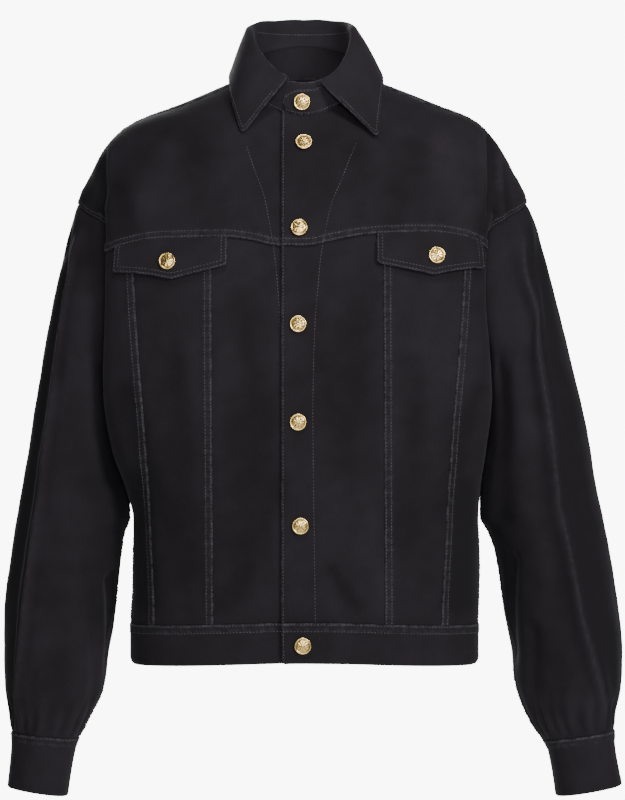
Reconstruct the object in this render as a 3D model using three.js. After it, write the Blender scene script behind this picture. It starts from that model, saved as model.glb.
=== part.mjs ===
// Denim jacket in the hollow form it has when it is worn, with no wearer: a boxy body with dropped
// shoulders, a point collar on a buttoned stand, full sleeves hanging down, and shank buttons.
// Millimetres, +Z up. The front faces -Y, so +X is the wearer's left. The origin is the middle of
// the neck at the height of the shoulders, which is where a wearer holds the jacket up.
import * as THREE from "three";
import { mergeVertices } from "three/addons/utils/BufferGeometryUtils.js";

// Driving sizes.
const SEAM_GAP = 0.3;
const CLOTH = 1.6; // one layer of denim
const DOUBLE_CLOTH = 2.4; // stand, collar and flaps: two layers and a stiffener
const BAND_CLOTH = 2.8; // hem band and cuffs: folded double and stitched flat
const HEM_SEAM_Z = -582; // at the sides
const FRONT_EDGE_X = -24; // the wearer's left front lies on top and ends here
const UNDER_EDGE_X = 13; // the wearer's right front lies beneath and ends here
const ARMHOLE = { top: -121.3, bottom: -300, halfDepth: 62, square: 2.5, step: 15, yokeTurn: 75 };
const SHOULDER_SEAM = { ridgeZ: -45, frontZ: -5, ridgeAngle: 90, frontAngle: 75 };
const BUTTON = { radius: 10, rim: 8.6, thick: 1.6, dome: 2.3, shank: 3, shankHeight: 1.2, sides: 16 };

// Rings of the body from hem to neck. z is a ring's height at its sides, right and left its
// half-widths on the wearer's two sides, front and back its depths, drop and rise how far its front
// and back lie from z, and square its squareness. pinchR and pinchL are how far the arms press its
// sides in, and groove is the depth of the drape fold between chest and sleeve.
const BODY = table("z right left front back drop rise square pinchR pinchL groove", [
  [-626, 190, 191, 112, 106, 6, 4, 3.1, 0, 0, 0],
  [-582, 190, 191, 116, 110, 6, 4, 3.1, 0, 0, 0],
  [-530, 188, 192, 121, 114, 2, 1, 3.1, 0, 0, 0],
  [-470, 190, 193, 124, 117, 0, 0, 3.2, 4, 3, 0],
  [-437, 202, 198, 125, 118, 0, 0, 3.4, 15, 9, 0],
  [-392, 225, 208, 126, 119, 0, 0, 3.7, 38, 20, 0],
  [-338, 238, 216, 126, 120, 0, 0, 3.9, 52, 27, 0],
  [-274, 241, 218, 124, 122, 0, 0, 3.9, 54, 28, 8],
  [-228, 241, 219, 121, 122, 0, 0, 3.9, 45, 22, 22],
  [-170, 244, 227, 115, 121, 0, 0, 3.6, 24, 10, 25],
  [-121.3, 247.5, 243.5, 107, 117, 0, 0, 3, 0, 0, 13],
  [-90, 234, 230, 101, 112, -4, 0, 2.7, 0, 0, 6],
  [-63, 220, 216, 94, 106, -12, 2, 2.5, 0, 0, 2],
  [-41, 199, 199, 88, 101, -20, 4, 2.4, 0, 0, 0],
  [-30, 178, 184, 84, 97, -24, 5, 2.4, 0, 0, 0],
  [-19, 150, 159, 79, 90, -29, 6, 2.3, 0, 0, 0],
  [-3.3, 113, 121, 72, 79, -37, 7, 2.2, 0, 0, 0],
  [11, 80, 84, 64, 66, -43, 9, 2.1, 0, 0, 0],
]);
const PINCH_SPREAD = 16; // degrees round the ring, as in the grooves
const GROOVES = { right: { angle: 76, spread: 4.5 }, left: { angle: 75, spread: 6 } };

// Height of the front yoke seam at each distance from the middle, and of the back one.
const YOKE_SEAM = table("x z", [
  [-230, -180],
  [-212, -176],
  [-194, -170],
  [-160, -165],
  [-84, -164],
  [-58, -167],
  [-24, -173.5],
  [5, -173.5],
  [30, -168],
  [75, -160.5],
  [140, -158],
  [175, -161],
  [195, -167],
  [215, -175],
  [230, -180],
]);
const BACK_YOKE_Z = -180;
const BAND_LIFT = 0.6; // how far the thicker bands stand out from the cloth that they are sewn to

// Seams of the front and the back: how far from the middle they are at the hem and at the yoke.
const SEAMS = {
  right: { inner: [101, 103], outer: [165, 188], back: [84, 100] },
  left: { inner: [91, 89], outer: [152, 178], back: [84, 100] },
};

// Rings of the sleeves from armhole to cuff. out and in are a ring's outer and inner ends as seen
// from the front, front and back its depths from its middle line, and ahead how far forward that
// line lies.
const SLEEVES = {
  right: table("outX outZ inX inZ front back ahead", [
    [-247.5, -121.3, -187, -300, 62, 62, 0],
    [-254, -140, -196, -319, 66, 66, 0],
    [-263, -173, -201, -340, 70, 72, 0],
    [-273, -217, -202, -362, 74, 77, 0],
    [-284, -272, -200, -387, 77, 80, -1],
    [-294, -338, -195, -416, 78, 82, -2],
    [-302.5, -388, -192, -441, 78, 82, -1],
    [-311, -437, -191.5, -466, 77, 81, 1],
    [-316, -470, -198, -485, 76, 80, 3],
    [-321, -503, -201, -508, 75, 78, 5],
    [-329, -569, -206, -567, 72, 74, 10],
    [-330, -613, -211.5, -611, 67, 69, 13],
    [-328, -653, -220.5, -655, 59, 61, 16],
    [-322, -686, -237.5, -690, 48, 50, 18],
    [-319.5, -708.5, -249.5, -716.5, 38.5, 38.5, 19],
  ]),
  left: table("outX outZ inX inZ front back ahead", [
    [243.5, -121.3, 190, -300, 62, 62, 0],
    [253, -140, 196, -319, 66, 66, 0],
    [263, -173, 199, -340, 70, 72, 0],
    [274, -217, 200, -362, 73, 77, 0],
    [287.5, -272, 200, -387, 76, 80, -1],
    [303.5, -338, 196.5, -416, 77, 82, -2],
    [313.5, -388, 194, -441, 77, 82, -1],
    [322, -437, 193.5, -466, 76, 81, 1],
    [329, -470, 203.5, -484, 76, 80, 3],
    [335.5, -503, 211, -506, 75, 78, 5],
    [346.5, -569, 220, -569, 72, 74, 10],
    [350, -613, 227, -613, 67, 69, 13],
    [348.5, -653, 234.5, -655, 59, 61, 16],
    [341, -686, 248.5, -689, 48, 50, 18],
    [339.5, -706.5, 267.5, -721.5, 38.5, 38.5, 19],
  ]),
};
const SLEEVE_SQUARE = 2.25;
const SLEEVE_BLEND = 90; // run over which a sleeve leaves its armhole's own curve
const UNDERARM_TURN = 180; // degrees round a sleeve: 0 outside, 90 in front, as is the next
const BACK_SEAM_TURN = 315;

// The pressed edge down the front of each sleeve: its turn and height at each run from the armhole.
const PRESSED_EDGE = {
  right: table("run turn height", [
    [0, 60, 0],
    [60, 46, 2.5],
    [200, 42, 5],
    [400, 44, 5],
    [500, 38, 3.5],
    [590, 24, 1],
  ]),
  left: table("run turn height", [
    [0, 40, 1],
    [60, 52, 3],
    [200, 64, 5],
    [400, 64, 5],
    [500, 48, 3.5],
    [590, 28, 1],
  ]),
};
const PRESSED_SPREAD = 10;

// The sleeves' largest drape folds: soft lines from one run and turn to another, with the fold's
// half-width and its depth inwards.
const FOLDS = {
  right: table("run turn toRun toTurn width depth", [
    [70, 118, 250, 140, 16, 5],
    [420, 150, 505, 176, 13, 7],
    [470, 128, 545, 150, 12, 5],
    [250, 232, 430, 262, 18, 6],
    [520, 262, 590, 268, 12, 4],
  ]),
  left: table("run turn toRun toTurn width depth", [
    [60, 122, 330, 136, 18, 8],
    [400, 140, 500, 170, 13, 7],
    [480, 126, 560, 140, 12, 5],
    [250, 236, 430, 258, 18, 6],
    [520, 266, 590, 262, 12, 4],
  ]),
};

// The far edge of each cuff, with the sleeves' columns.
const CUFF_ENDS = {
  right: { outX: -323.5, outZ: -759.5, inX: -259, inZ: -770, front: 37, back: 37, ahead: 22 },
  left: { outX: 347, outZ: -757.5, inX: 276, inZ: -770, front: 37, back: 37, ahead: 22 },
};
// Turns of the cuff's lap: over where its top end is, under where the end beneath it is.
const CUFF_LAP = { over: 292, under: 330, flatFrom: 356 };

// The upper edge of the collar stand, a ring with the body's columns, and its round ends.
const STAND_TOP = { z: 44, right: 57, left: 56, front: 66, back: 57, drop: -46, rise: 14, square: 2.1 };
const STAND_END = { topX: -21.5, underX: 15, radius: 20 };

// The collar fall from the middle of the back to its points, on the wearer's two sides. turn is the
// angle from the middle of the back, rise and lean the way to the fold, bulge the roundness of the
// outside, and x, y and z the outer edge.
const FALL = {
  right: table("turn rise lean bulge x y z", [
    [0, 23, 1, 5, 0, 80, 22],
    [28, 25.5, 1, 5, 40, 74, 21],
    [55, 28, 1, 4, 68, 50, 19],
    [82, 25, 1, 1, 82, 12, 18],
    [106, 20, 2, 1, 81, -28, 8],
    [128, 15, 3, 2, 79, -55, -9],
    [147, 10, 2, 2, 74, -74, -29],
    [165, 6, 1, 1, 67, -88, -53],
  ]),
  left: table("turn rise lean bulge x y z", [
    [0, 23, 1, 5, 0, 80, 22],
    [28, 25.5, 1, 5, 40, 75, 21],
    [55, 27, -1, 4, 71, 52, 19],
    [82, 26, -4, 2, 86, 12, 18],
    [108, 16, -3, 3, 86, -28, 8],
    [130, 9, -1, 4, 84, -55, -9],
    [150, 4, 1, 3, 82, -74, -31],
    [166, 2, 1, 1, 80, -90, -57],
  ]),
};
const FOLD_RADIUS = 3.2;
const FALL_GAP = 1; // how far the fall starts above the middle of the stand's edge

// Chest pocket flaps: how deep each hangs below the yoke seam at distances from the middle.
const FLAPS = {
  right: table("x depth", [
    [82, 30.5],
    [112, 38],
    [141, 45],
    [172, 38],
    [202, 30],
  ]),
  left: table("x depth", [
    [78, 32],
    [110, 40],
    [139, 47],
    [168, 39],
    [191, 32],
  ]),
};

const FLAP_STANDOFF = { top: 0.7, bottom: 2.4 }; // how far a flap stands off, besides the gap
const FLAP_STEPS = { across: 8, down: 3 };

// Places of the buttons as seen from the front.
const FRONT_BUTTONS = table("x z", [
  [0, -61],
  [-5, -154],
  [-6, -257],
  [-6, -361.5],
  [-3.5, -472],
]);
const HEM_BUTTON = { x: -1, z: -600 };
const STAND_BUTTON = { x: -2, share: 0.55 };
const FLAP_BUTTONS = { right: { x: 145, z: -190.5 }, left: { x: 141, z: -184 } };

// Steps of the grids.
const STEPS = { centre: 5, pocket: 3, side: 5, back: 8, belowArm: 6, shoulder: 7 };
const SLEEVE_STEPS = { rows: 21, cuffRows: 2, cuff: 26 };
const COLLAR_STEPS = { along: 10, rise: 1, fold: 4, outside: 4 };
const HEM_STEPS = 36;
const STAND_STEPS = { end: 5, up: 2 };

const SIGN = { right: -1, left: 1 };
const SIDES = ["right", "left"];
const radians = THREE.MathUtils.degToRad;
const degrees = THREE.MathUtils.radToDeg;
const lerp = THREE.MathUtils.lerp;
const smoothstep = THREE.MathUtils.smoothstep;
const bell = (distance, spread) => Math.exp(-((distance / spread) ** 2));
const rounded = (value, square) => Math.sign(value) * Math.abs(value) ** (2 / square);
const shares = (steps) => Array.from({ length: steps + 1 }, (_, i) => i / steps);

// The rows of a table as objects with the columns' names.
function table(names, rows) {
  const columns = names.split(" ");
  return rows.map((row) => Object.fromEntries(columns.map((name, i) => [name, row[i]])));
}

// A smooth curve through one column of a table, along its key column.
function curveOf(rows, key, name) {
  const x = rows.map((row) => row[key]);
  const y = rows.map((row) => row[name]);
  const slopes = x.slice(1).map((next, i) => (y[i + 1] - y[i]) / (next - x[i]));
  const tangents = x.map((_, i) => {
    const before = slopes[Math.max(i - 1, 0)];
    const after = slopes[Math.min(i, slopes.length - 1)];
    return before * after <= 0 ? 0 : (2 * before * after) / (before + after);
  });
  return (at) => {
    const value = THREE.MathUtils.clamp(at, x[0], x.at(-1));
    let i = 0;
    while (i < x.length - 2 && value > x[i + 1]) i += 1;
    const span = x[i + 1] - x[i];
    const t = (value - x[i]) / span;
    const rest = 1 - t;
    const ends = y[i] * (1 + 2 * t) * rest * rest + y[i + 1] * t * t * (3 - 2 * t);
    return ends + span * t * rest * (tangents[i] * rest - tangents[i + 1] * t);
  };
}

// One function that gives all of a table's columns along the key.
function rowsAlong(rows, key) {
  const names = Object.keys(rows[0]).filter((name) => name !== key);
  const curves = names.map((name) => curveOf(rows, key, name));
  return (at) => Object.fromEntries(names.map((name, i) => [name, curves[i](at)]));
}

// The table with a run column: the distance along the line of the points that place gives.
function withRun(rows, place) {
  let run = 0;
  return rows.map((row, i) => {
    if (i > 0) run += place(row).distanceTo(place(rows[i - 1]));
    return { ...row, run };
  });
}

// The argument between low and high at which a rising or falling function has a value.
function solve(value, low, high, of) {
  const rising = of(high) > of(low);
  for (let i = 0; i < 36; i += 1) {
    const middle = (low + high) / 2;
    if (of(middle) < value === rising) low = middle;
    else high = middle;
  }
  return (low + high) / 2;
}

// A surface is a function from two arguments to a point. This one gives its normal.
function normalTo(surface, turned = 1, stepA = 0.3, stepB = 1) {
  return (a, b) => {
    const alongA = surface(a + stepA, b).sub(surface(a - stepA, b));
    const alongB = surface(a, b + stepB).sub(surface(a, b - stepB));
    return alongA.cross(alongB).normalize().multiplyScalar(turned);
  };
}

// Solids.

// The geometry with its faces turned outwards.
function facingOut(positions, indices) {
  const corner = (k) => new THREE.Vector3().fromArray(positions, 3 * indices[k]);
  let volume = 0;
  for (let k = 0; k < indices.length; k += 3) {
    volume += corner(k).dot(corner(k + 1).cross(corner(k + 2)));
  }
  if (volume < 0) indices.reverse();
  const geometry = new THREE.BufferGeometry();
  geometry.setAttribute("position", new THREE.Float32BufferAttribute(positions, 3));
  geometry.setIndex(indices);
  geometry.computeVertexNormals();
  return geometry;
}

// A closed wall between the grids of its two faces.
function wallBetween(outer, inner) {
  const rows = outer.length;
  const columns = outer[0].length;
  const positions = [...outer.flat(), ...inner.flat()].flatMap((p) => [p.x, p.y, p.z]);
  const at = (face, i, j) => (face * rows + i) * columns + j;
  const indices = [];
  const quad = (a, b, c, d) => indices.push(a, b, c, a, c, d);
  for (let i = 0; i < rows - 1; i += 1) {
    for (let j = 0; j < columns - 1; j += 1) {
      quad(at(0, i, j), at(0, i, j + 1), at(0, i + 1, j + 1), at(0, i + 1, j));
      quad(at(1, i, j), at(1, i + 1, j), at(1, i + 1, j + 1), at(1, i, j + 1));
    }
  }
  const last = columns - 1;
  const top = rows - 1;
  for (let j = 0; j < last; j += 1) {
    quad(at(0, 0, j), at(1, 0, j), at(1, 0, j + 1), at(0, 0, j + 1));
    quad(at(0, top, j), at(0, top, j + 1), at(1, top, j + 1), at(1, top, j));
  }
  for (let i = 0; i < top; i += 1) {
    quad(at(0, i, 0), at(0, i + 1, 0), at(1, i + 1, 0), at(1, i, 0));
    quad(at(0, i, last), at(1, i, last), at(1, i + 1, last), at(0, i + 1, last));
  }
  return facingOut(positions, indices);
}

// A wall on a grid of places of a surface. A place has the surface's two arguments a and b, and the
// lift of the wall's outer face over the surface.
function wallOn(surface, normal, places, thick) {
  const face = (depth) =>
    places.map((row) =>
      row.map(({ a, b, lift }) => surface(a, b).addScaledVector(normal(a, b), lift - depth)),
    );
  return wallBetween(face(0), face(thick));
}

const denim = new THREE.MeshStandardMaterial({ color: 0x232025, roughness: 0.92, metalness: 0 });
const gold = new THREE.MeshStandardMaterial({ color: 0xd9a441, roughness: 0.28, metalness: 1 });
const jacket = new THREE.Group();

function add(name, geometry, material = denim) {
  const mesh = new THREE.Mesh(geometry, material);
  mesh.name = name;
  jacket.add(mesh);
  return mesh;
}

// The body's surface. Its arguments are an angle in degrees, 0 in front, 90 at the wearer's left and
// 180 behind, and a run up the side from the hem.
const bodyRows = withRun(BODY, (row) => new THREE.Vector2((row.right + row.left) / 2, row.z));
const bodyAt = rowsAlong(bodyRows, "run");
const NECK_RUN = bodyRows.at(-1).run;
const runAtZ = (z) => solve(z, 0, NECK_RUN, (run) => bodyAt(run).z);
const HEM_RUN = runAtZ(HEM_SEAM_Z);
const UNDERARM_RUN = runAtZ(ARMHOLE.bottom);
const SHOULDER_RUN = runAtZ(ARMHOLE.top);

function ringPoint(angle, ring) {
  const sine = Math.sin(radians(angle));
  const cosine = Math.cos(radians(angle));
  const half = sine < 0 ? ring.right : ring.left;
  const depth = cosine > 0 ? ring.front : ring.back;
  const sum = Math.abs(sine / half) ** ring.square + Math.abs(cosine / depth) ** ring.square;
  const radius = sum ** (-1 / ring.square);
  const tilt = (cosine > 0 ? ring.drop : ring.rise) * cosine * cosine;
  return new THREE.Vector3(radius * sine, -radius * cosine, ring.z + tilt);
}

function bodyPoint(angle, run) {
  const ring = bodyAt(run);
  const point = ringPoint(angle, ring);
  const turn = degrees(Math.acos(Math.abs(Math.cos(radians(angle)))));
  const { angle: middle, spread } = GROOVES[point.x < 0 ? "right" : "left"];
  const groove = ring.groove * bell(turn - middle, spread);
  const kept = 1 - groove / Math.hypot(point.x, point.y);
  point.x *= kept;
  point.y *= kept;
  const side = Math.sign(point.x);
  point.x -= side * (side < 0 ? ring.pinchR : ring.pinchL) * bell(turn - 90, PINCH_SPREAD);
  return point;
}

const bodyNormal = normalTo(bodyPoint);
const wallOnBody = (places, thick) => wallOn(bodyPoint, bodyNormal, places, thick);
const frontAngle = (x, run) => solve(x, -80, 80, (angle) => bodyPoint(angle, run).x);
const backAngle = (x, run) => solve(x, 100, 260, (angle) => bodyPoint(angle, run).x);

// A place of the armhole: 0 at its top, 90 in front, 180 at the underarm and 270 behind.
function armholePlace(side, turn) {
  const middle = (ARMHOLE.top + ARMHOLE.bottom) / 2;
  const half = (ARMHOLE.top - ARMHOLE.bottom) / 2;
  const run = runAtZ(middle + half * rounded(Math.cos(radians(turn)), ARMHOLE.square));
  const y = -ARMHOLE.halfDepth * rounded(Math.sin(radians(turn)), ARMHOLE.square);
  const angle = solve(y, 40, 140, (turned) => bodyPoint(SIGN[side] * turned, run).y);
  return { angle: SIGN[side] * angle, run };
}

const yokeHeight = curveOf(YOKE_SEAM, "x", "z");
function frontYokeRun(angle) {
  const above = (run) => {
    const point = bodyPoint(angle, run);
    return point.z - yokeHeight(point.x);
  };
  return solve(0, runAtZ(-230), runAtZ(-110), above);
}

// Fields of the body: the front and the back, each below its yoke seam and above it. A field is a
// stack of rows. Its edges are the places at which the rows end on the wearer's two sides, and its
// run tells how far up a row is at an angle.

// The armhole's places from one turn to another, on the way up.
function armholeEdge(side, facing, from, to) {
  const steps = (from - to) / ARMHOLE.step;
  return shares(steps).map((share) => armholePlace(side, facing * lerp(from, to, share)));
}

function lowerEdge(side, facing) {
  const below = shares(STEPS.belowArm).map((share) => {
    return { angle: SIGN[side] * 90, run: lerp(HEM_RUN, UNDERARM_RUN, share) };
  });
  return [...below, ...armholeEdge(side, facing, 180, ARMHOLE.yokeTurn).slice(1)];
}

function upperEdge(side, facing) {
  const { ridgeZ, frontZ, ridgeAngle, frontAngle: seamAngle } = SHOULDER_SEAM;
  const over = shares(STEPS.shoulder).map((share) => {
    const run = lerp(SHOULDER_RUN, NECK_RUN, share);
    const angle = lerp(ridgeAngle, seamAngle, smoothstep(bodyAt(run).z, ridgeZ, frontZ));
    return { angle: SIGN[side] * angle, run };
  });
  return [...armholeEdge(side, facing, ARMHOLE.yokeTurn, 0), ...over.slice(1)];
}

function fieldOf(middle, edgeOf, lowerRun, upperRun) {
  const facing = middle === 0 ? 1 : -1;
  const around = (place) => ({ ...place, angle: middle === 0 ? place.angle : (place.angle + 360) % 360 });
  const edges = Object.fromEntries(SIDES.map((side) => [side, edgeOf(side, facing).map(around)]));
  const rows = edges.left.length - 1;
  const run = (i, angle) => {
    const edge = edges[Math.sin(radians(angle)) < 0 ? "right" : "left"][i];
    const share = (angle - middle) / (edge.angle - middle);
    const inside = lerp(lowerRun(angle), upperRun(angle), i / rows);
    return lerp(inside, edge.run, share * share);
  };
  return { middle, edges, rows, run };
}

const fields = {
  frontLower: fieldOf(0, lowerEdge, () => HEM_RUN, frontYokeRun),
  frontUpper: fieldOf(0, upperEdge, frontYokeRun, () => NECK_RUN),
  backLower: fieldOf(180, lowerEdge, () => HEM_RUN, () => runAtZ(BACK_YOKE_Z)),
  backUpper: fieldOf(180, upperEdge, () => runAtZ(BACK_YOKE_Z), () => NECK_RUN),
};

// How far the top front and its band are lifted over the ones beneath.
function overlapLift(angle, run, thick) {
  const { x, y } = bodyPoint(angle, run);
  if (y > 0 || x > UNDER_EDGE_X + 40) return 0;
  return (thick + SEAM_GAP) * (1 - smoothstep(x, UNDER_EDGE_X + 3, UNDER_EDGE_X + 40));
}

// Half a seam's gap as an angle round the body.
function halfGap(angle, run) {
  const { x, y } = bodyPoint(angle, run);
  return degrees(SEAM_GAP / 2 / Math.hypot(x, y));
}

// A panel between two lines of a field, each given by its angle on every row. seams tells which of
// the four edges are seams: from, to, bottom and top.
function panelPlaces(field, from, to, columns, seams, lift = () => 0) {
  return shares(field.rows).map((up, i) => {
    const start = from(i);
    const end = to(i);
    const turned = Math.sign(end - start);
    const first = start + (seams.from ? turned * halfGap(start, field.run(i, start)) : 0);
    const last = end - (seams.to ? turned * halfGap(end, field.run(i, end)) : 0);
    return columns.map((share) => {
      const a = lerp(first, last, share);
      const inset = (i === 0 && seams.bottom) - (i === field.rows && seams.top);
      const b = field.run(i, a) + (inset * SEAM_GAP) / 2;
      return { a, b, lift: lift(a, b) };
    });
  });
}

// The angle on each row of a seam that lies at x at the bottom of a field and at x at its top.
function seamLine(field, bottomX, topX) {
  const angleOf = field.middle === 0 ? frontAngle : backAngle;
  const angles = shares(field.rows).map((up, i) => {
    const x = lerp(bottomX, topX, up);
    const guess = angleOf(x, field.run(i, field.middle + Math.sign(x)));
    return angleOf(x, field.run(i, guess));
  });
  return (i) => angles[i];
}

// The relative positions of columns that meet the columns of several panels side by side.
function columnsOf(lines, steps) {
  const angles = steps.flatMap((count, k) =>
    shares(count)
      .slice(k > 0 ? 1 : 0)
      .map((share) => lerp(lines[k], lines[k + 1], share)),
  );
  return angles.map((angle) => (angle - angles[0]) / (angles.at(-1) - angles[0]));
}

const allSeams = { from: true, to: true, bottom: true, top: true };

function addFront(side) {
  const sign = SIGN[side];
  const isTop = side === "left";
  const edgeX = isTop ? FRONT_EDGE_X : UNDER_EDGE_X;
  const lift = isTop ? (a, b) => overlapLift(a, b, CLOTH) : () => 0;
  const lower = fields.frontLower;
  const seams = SEAMS[side];
  const lines = [
    seamLine(lower, edgeX, edgeX),
    seamLine(lower, sign * seams.inner[0], sign * seams.inner[1]),
    seamLine(lower, sign * seams.outer[0], sign * seams.outer[1]),
    (i) => lower.edges[side][i].angle,
  ];
  const names = [`front_centre_${side}`, `pocket_panel_${side}`, `front_side_${side}`];
  const steps = [STEPS.centre, STEPS.pocket, STEPS.side];
  names.forEach((name, k) => {
    const edges = { ...allSeams, from: k > 0 };
    const places = panelPlaces(lower, lines[k], lines[k + 1], shares(steps[k]), edges, lift);
    add(name, wallOnBody(places, CLOTH));
  });

  const upper = fields.frontUpper;
  const columns = columnsOf(lines.map((line) => line(lower.rows)), steps);
  const edge = seamLine(upper, edgeX, edgeX);
  const armSide = (i) => upper.edges[side][i].angle;
  const open = { ...allSeams, from: false };
  const places = panelPlaces(upper, edge, armSide, columns, open, lift);
  add(`front_yoke_${side}`, wallOnBody(places, CLOTH));
}

function addBack() {
  const lower = fields.backLower;
  const [left, right] = ["left", "right"].map((side) => {
    const [bottom, top] = SEAMS[side].back;
    return seamLine(lower, SIGN[side] * bottom, SIGN[side] * top);
  });
  const edgeOf = (field, side) => (i) => field.edges[side][i].angle;
  const lines = [edgeOf(lower, "left"), left, right, edgeOf(lower, "right")];
  const names = ["back_side_left", "back_centre", "back_side_right"];
  const steps = [STEPS.side, STEPS.back, STEPS.side];
  names.forEach((name, k) => {
    const places = panelPlaces(lower, lines[k], lines[k + 1], shares(steps[k]), allSeams);
    add(name, wallOnBody(places, CLOTH));
  });
  const upper = fields.backUpper;
  const columns = columnsOf(lines.map((line) => line(lower.rows)), steps);
  const places = panelPlaces(upper, edgeOf(upper, "left"), edgeOf(upper, "right"), columns, allSeams);
  add("back_yoke", wallOnBody(places, CLOTH));
}

// The hem band: one strip all round, whose top end laps over its other end at the front.
function addHemBand() {
  const first = frontAngle(FRONT_EDGE_X, HEM_RUN);
  const last = 360 + frontAngle(UNDER_EDGE_X, HEM_RUN);
  const places = shares(2).map((up) =>
    shares(HEM_STEPS).map((share) => {
      const a = lerp(first, last, share);
      const b = lerp(0, HEM_RUN - SEAM_GAP / 2, up);
      const lift = share < 0.5 ? overlapLift(a, b, BAND_CLOTH) : 0;
      return { a, b, lift: BAND_LIFT + lift };
    }),
  );
  add("hem_band", wallOnBody(places, BAND_CLOTH));
}

// A sleeve's surface, with its cuff. Its arguments are a turn in degrees, 0 outside, 90 in front,
// 180 under the arm and 270 behind, and a run along its outside from the armhole.

// A ring's middle and the point at a turn.
function sleeveRing(ring, turn) {
  const middle = new THREE.Vector3(
    (ring.outX + ring.inX) / 2,
    -ring.ahead,
    (ring.outZ + ring.inZ) / 2,
  );
  const across = rounded(Math.cos(radians(turn)), SLEEVE_SQUARE) / 2;
  const ahead = rounded(Math.sin(radians(turn)), SLEEVE_SQUARE);
  const depth = ahead > 0 ? ring.front : ring.back;
  const offset = new THREE.Vector3(
    (ring.outX - ring.inX) * across,
    -depth * ahead,
    (ring.outZ - ring.inZ) * across,
  );
  return { middle, point: offset.clone().add(middle), outwards: offset.normalize() };
}

// How deep a fold is at a place: it fades with the distance from its line.
function foldDepth(fold, turn, run) {
  const perTurn = 1.1; // millimetres round the sleeve for each degree
  const along = new THREE.Vector2(fold.toRun - fold.run, (fold.toTurn - fold.turn) * perTurn);
  const place = new THREE.Vector2(run - fold.run, (turn - fold.turn) * perTurn);
  const share = THREE.MathUtils.clamp(place.dot(along) / along.lengthSq(), 0, 1);
  return fold.depth * bell(place.distanceTo(along.multiplyScalar(share)), fold.width);
}

function sleeveOf(side) {
  const rings = [...SLEEVES[side], CUFF_ENDS[side]];
  const rows = withRun(rings, (row) => new THREE.Vector2(row.outX, row.outZ));
  const ringAt = rowsAlong(rows, "run");
  const edgeAt = rowsAlong(PRESSED_EDGE[side], "run");
  const surface = (turn, run) => {
    const { point, outwards } = sleeveRing(ringAt(run), turn);
    const round = THREE.MathUtils.euclideanModulo(turn, 360);
    if (run < SLEEVE_BLEND) {
      const place = armholePlace(side, round);
      const moved = bodyPoint(place.angle, place.run).sub(sleeveRing(rows[0], turn).point);
      point.addScaledVector(moved, 1 - smoothstep(run, 0, SLEEVE_BLEND));
    }
    const edge = edgeAt(run);
    const folds = FOLDS[side].reduce((sum, fold) => sum + foldDepth(fold, round, run), 0);
    const raised = edge.height * bell(round - edge.turn, PRESSED_SPREAD) - folds;
    return point.addScaledVector(outwards, raised * smoothstep(run, 0, SLEEVE_BLEND));
  };
  const normal = normalTo(surface, SIGN[side]);
  return { surface, normal, cuffRun: rows.at(-2).run, endRun: rows.at(-1).run };
}

const sleeves = { right: sleeveOf("right"), left: sleeveOf("left") };

function addSleeve(side) {
  const { surface, normal, cuffRun } = sleeves[side];
  const gap = degrees(SEAM_GAP / 2 / ARMHOLE.halfDepth);
  const piece = (name, from, to) => {
    const columns = (to - from) / ARMHOLE.step;
    const places = shares(SLEEVE_STEPS.rows).map((share) => {
      const b = lerp(SEAM_GAP, cuffRun - SEAM_GAP / 2, share);
      return shares(columns).map((round) => ({ a: lerp(from + gap, to - gap, round), b, lift: 0 }));
    });
    add(name, wallOn(surface, normal, places, CLOTH));
  };
  piece(`sleeve_upper_${side}`, BACK_SEAM_TURN - 360, UNDERARM_TURN);
  piece(`sleeve_under_${side}`, UNDERARM_TURN, BACK_SEAM_TURN);
}

// The cuff: a strip whose top end laps over its other end at the back of the sleeve.
const cuffLift = (turn) => {
  const fade = smoothstep(turn, CUFF_LAP.under - 360, CUFF_LAP.flatFrom - 360);
  return BAND_LIFT + (BAND_CLOTH + SEAM_GAP) * (1 - fade);
};

function addCuff(side) {
  const { surface, normal, cuffRun, endRun } = sleeves[side];
  const places = shares(SLEEVE_STEPS.cuffRows).map((share) => {
    const b = lerp(cuffRun + SEAM_GAP / 2, endRun, share);
    return shares(SLEEVE_STEPS.cuff).map((round) => {
      const a = lerp(CUFF_LAP.over - 360, CUFF_LAP.under, round);
      return { a, b, lift: cuffLift(a) };
    });
  });
  add(`cuff_${side}`, wallOn(surface, normal, places, BAND_CLOTH));
}

// The collar stand's surface: an angle as on the body, and a height over the neck seam.
const neckRing = bodyAt(NECK_RUN);
const STAND_HEIGHT = STAND_TOP.z - neckRing.z;
function standPoint(angle, height) {
  const share = height / STAND_HEIGHT;
  const names = Object.keys(STAND_TOP);
  const sizes = names.map((name) => [name, lerp(neckRing[name], STAND_TOP[name], share)]);
  return ringPoint(angle, Object.fromEntries(sizes));
}
const standNormal = normalTo(standPoint);

// The turns of the fall's columns, from the wearer's right to the left.
const FALL_TURNS = [
  ...shares(COLLAR_STEPS.along).map((share) => -FALL.right.at(-1).turn * (1 - share)),
  ...shares(COLLAR_STEPS.along).slice(1).map((share) => FALL.left.at(-1).turn * share),
];

// The stand's end on top is lifted over its end beneath, as the fronts are.
function standLift(angle) {
  if (angle > 90) return 0;
  const { x } = standPoint(angle, STAND_HEIGHT);
  return (DOUBLE_CLOTH + SEAM_GAP) * (1 - smoothstep(x, STAND_END.underX + 3, STAND_END.underX + 40));
}

// How much of its height the stand loses to its round end, at a distance from that end.
function roundLoss(distance) {
  const into = Math.max(STAND_END.radius - distance, 0);
  return STAND_END.radius - Math.sqrt(STAND_END.radius ** 2 - into ** 2);
}

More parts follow.
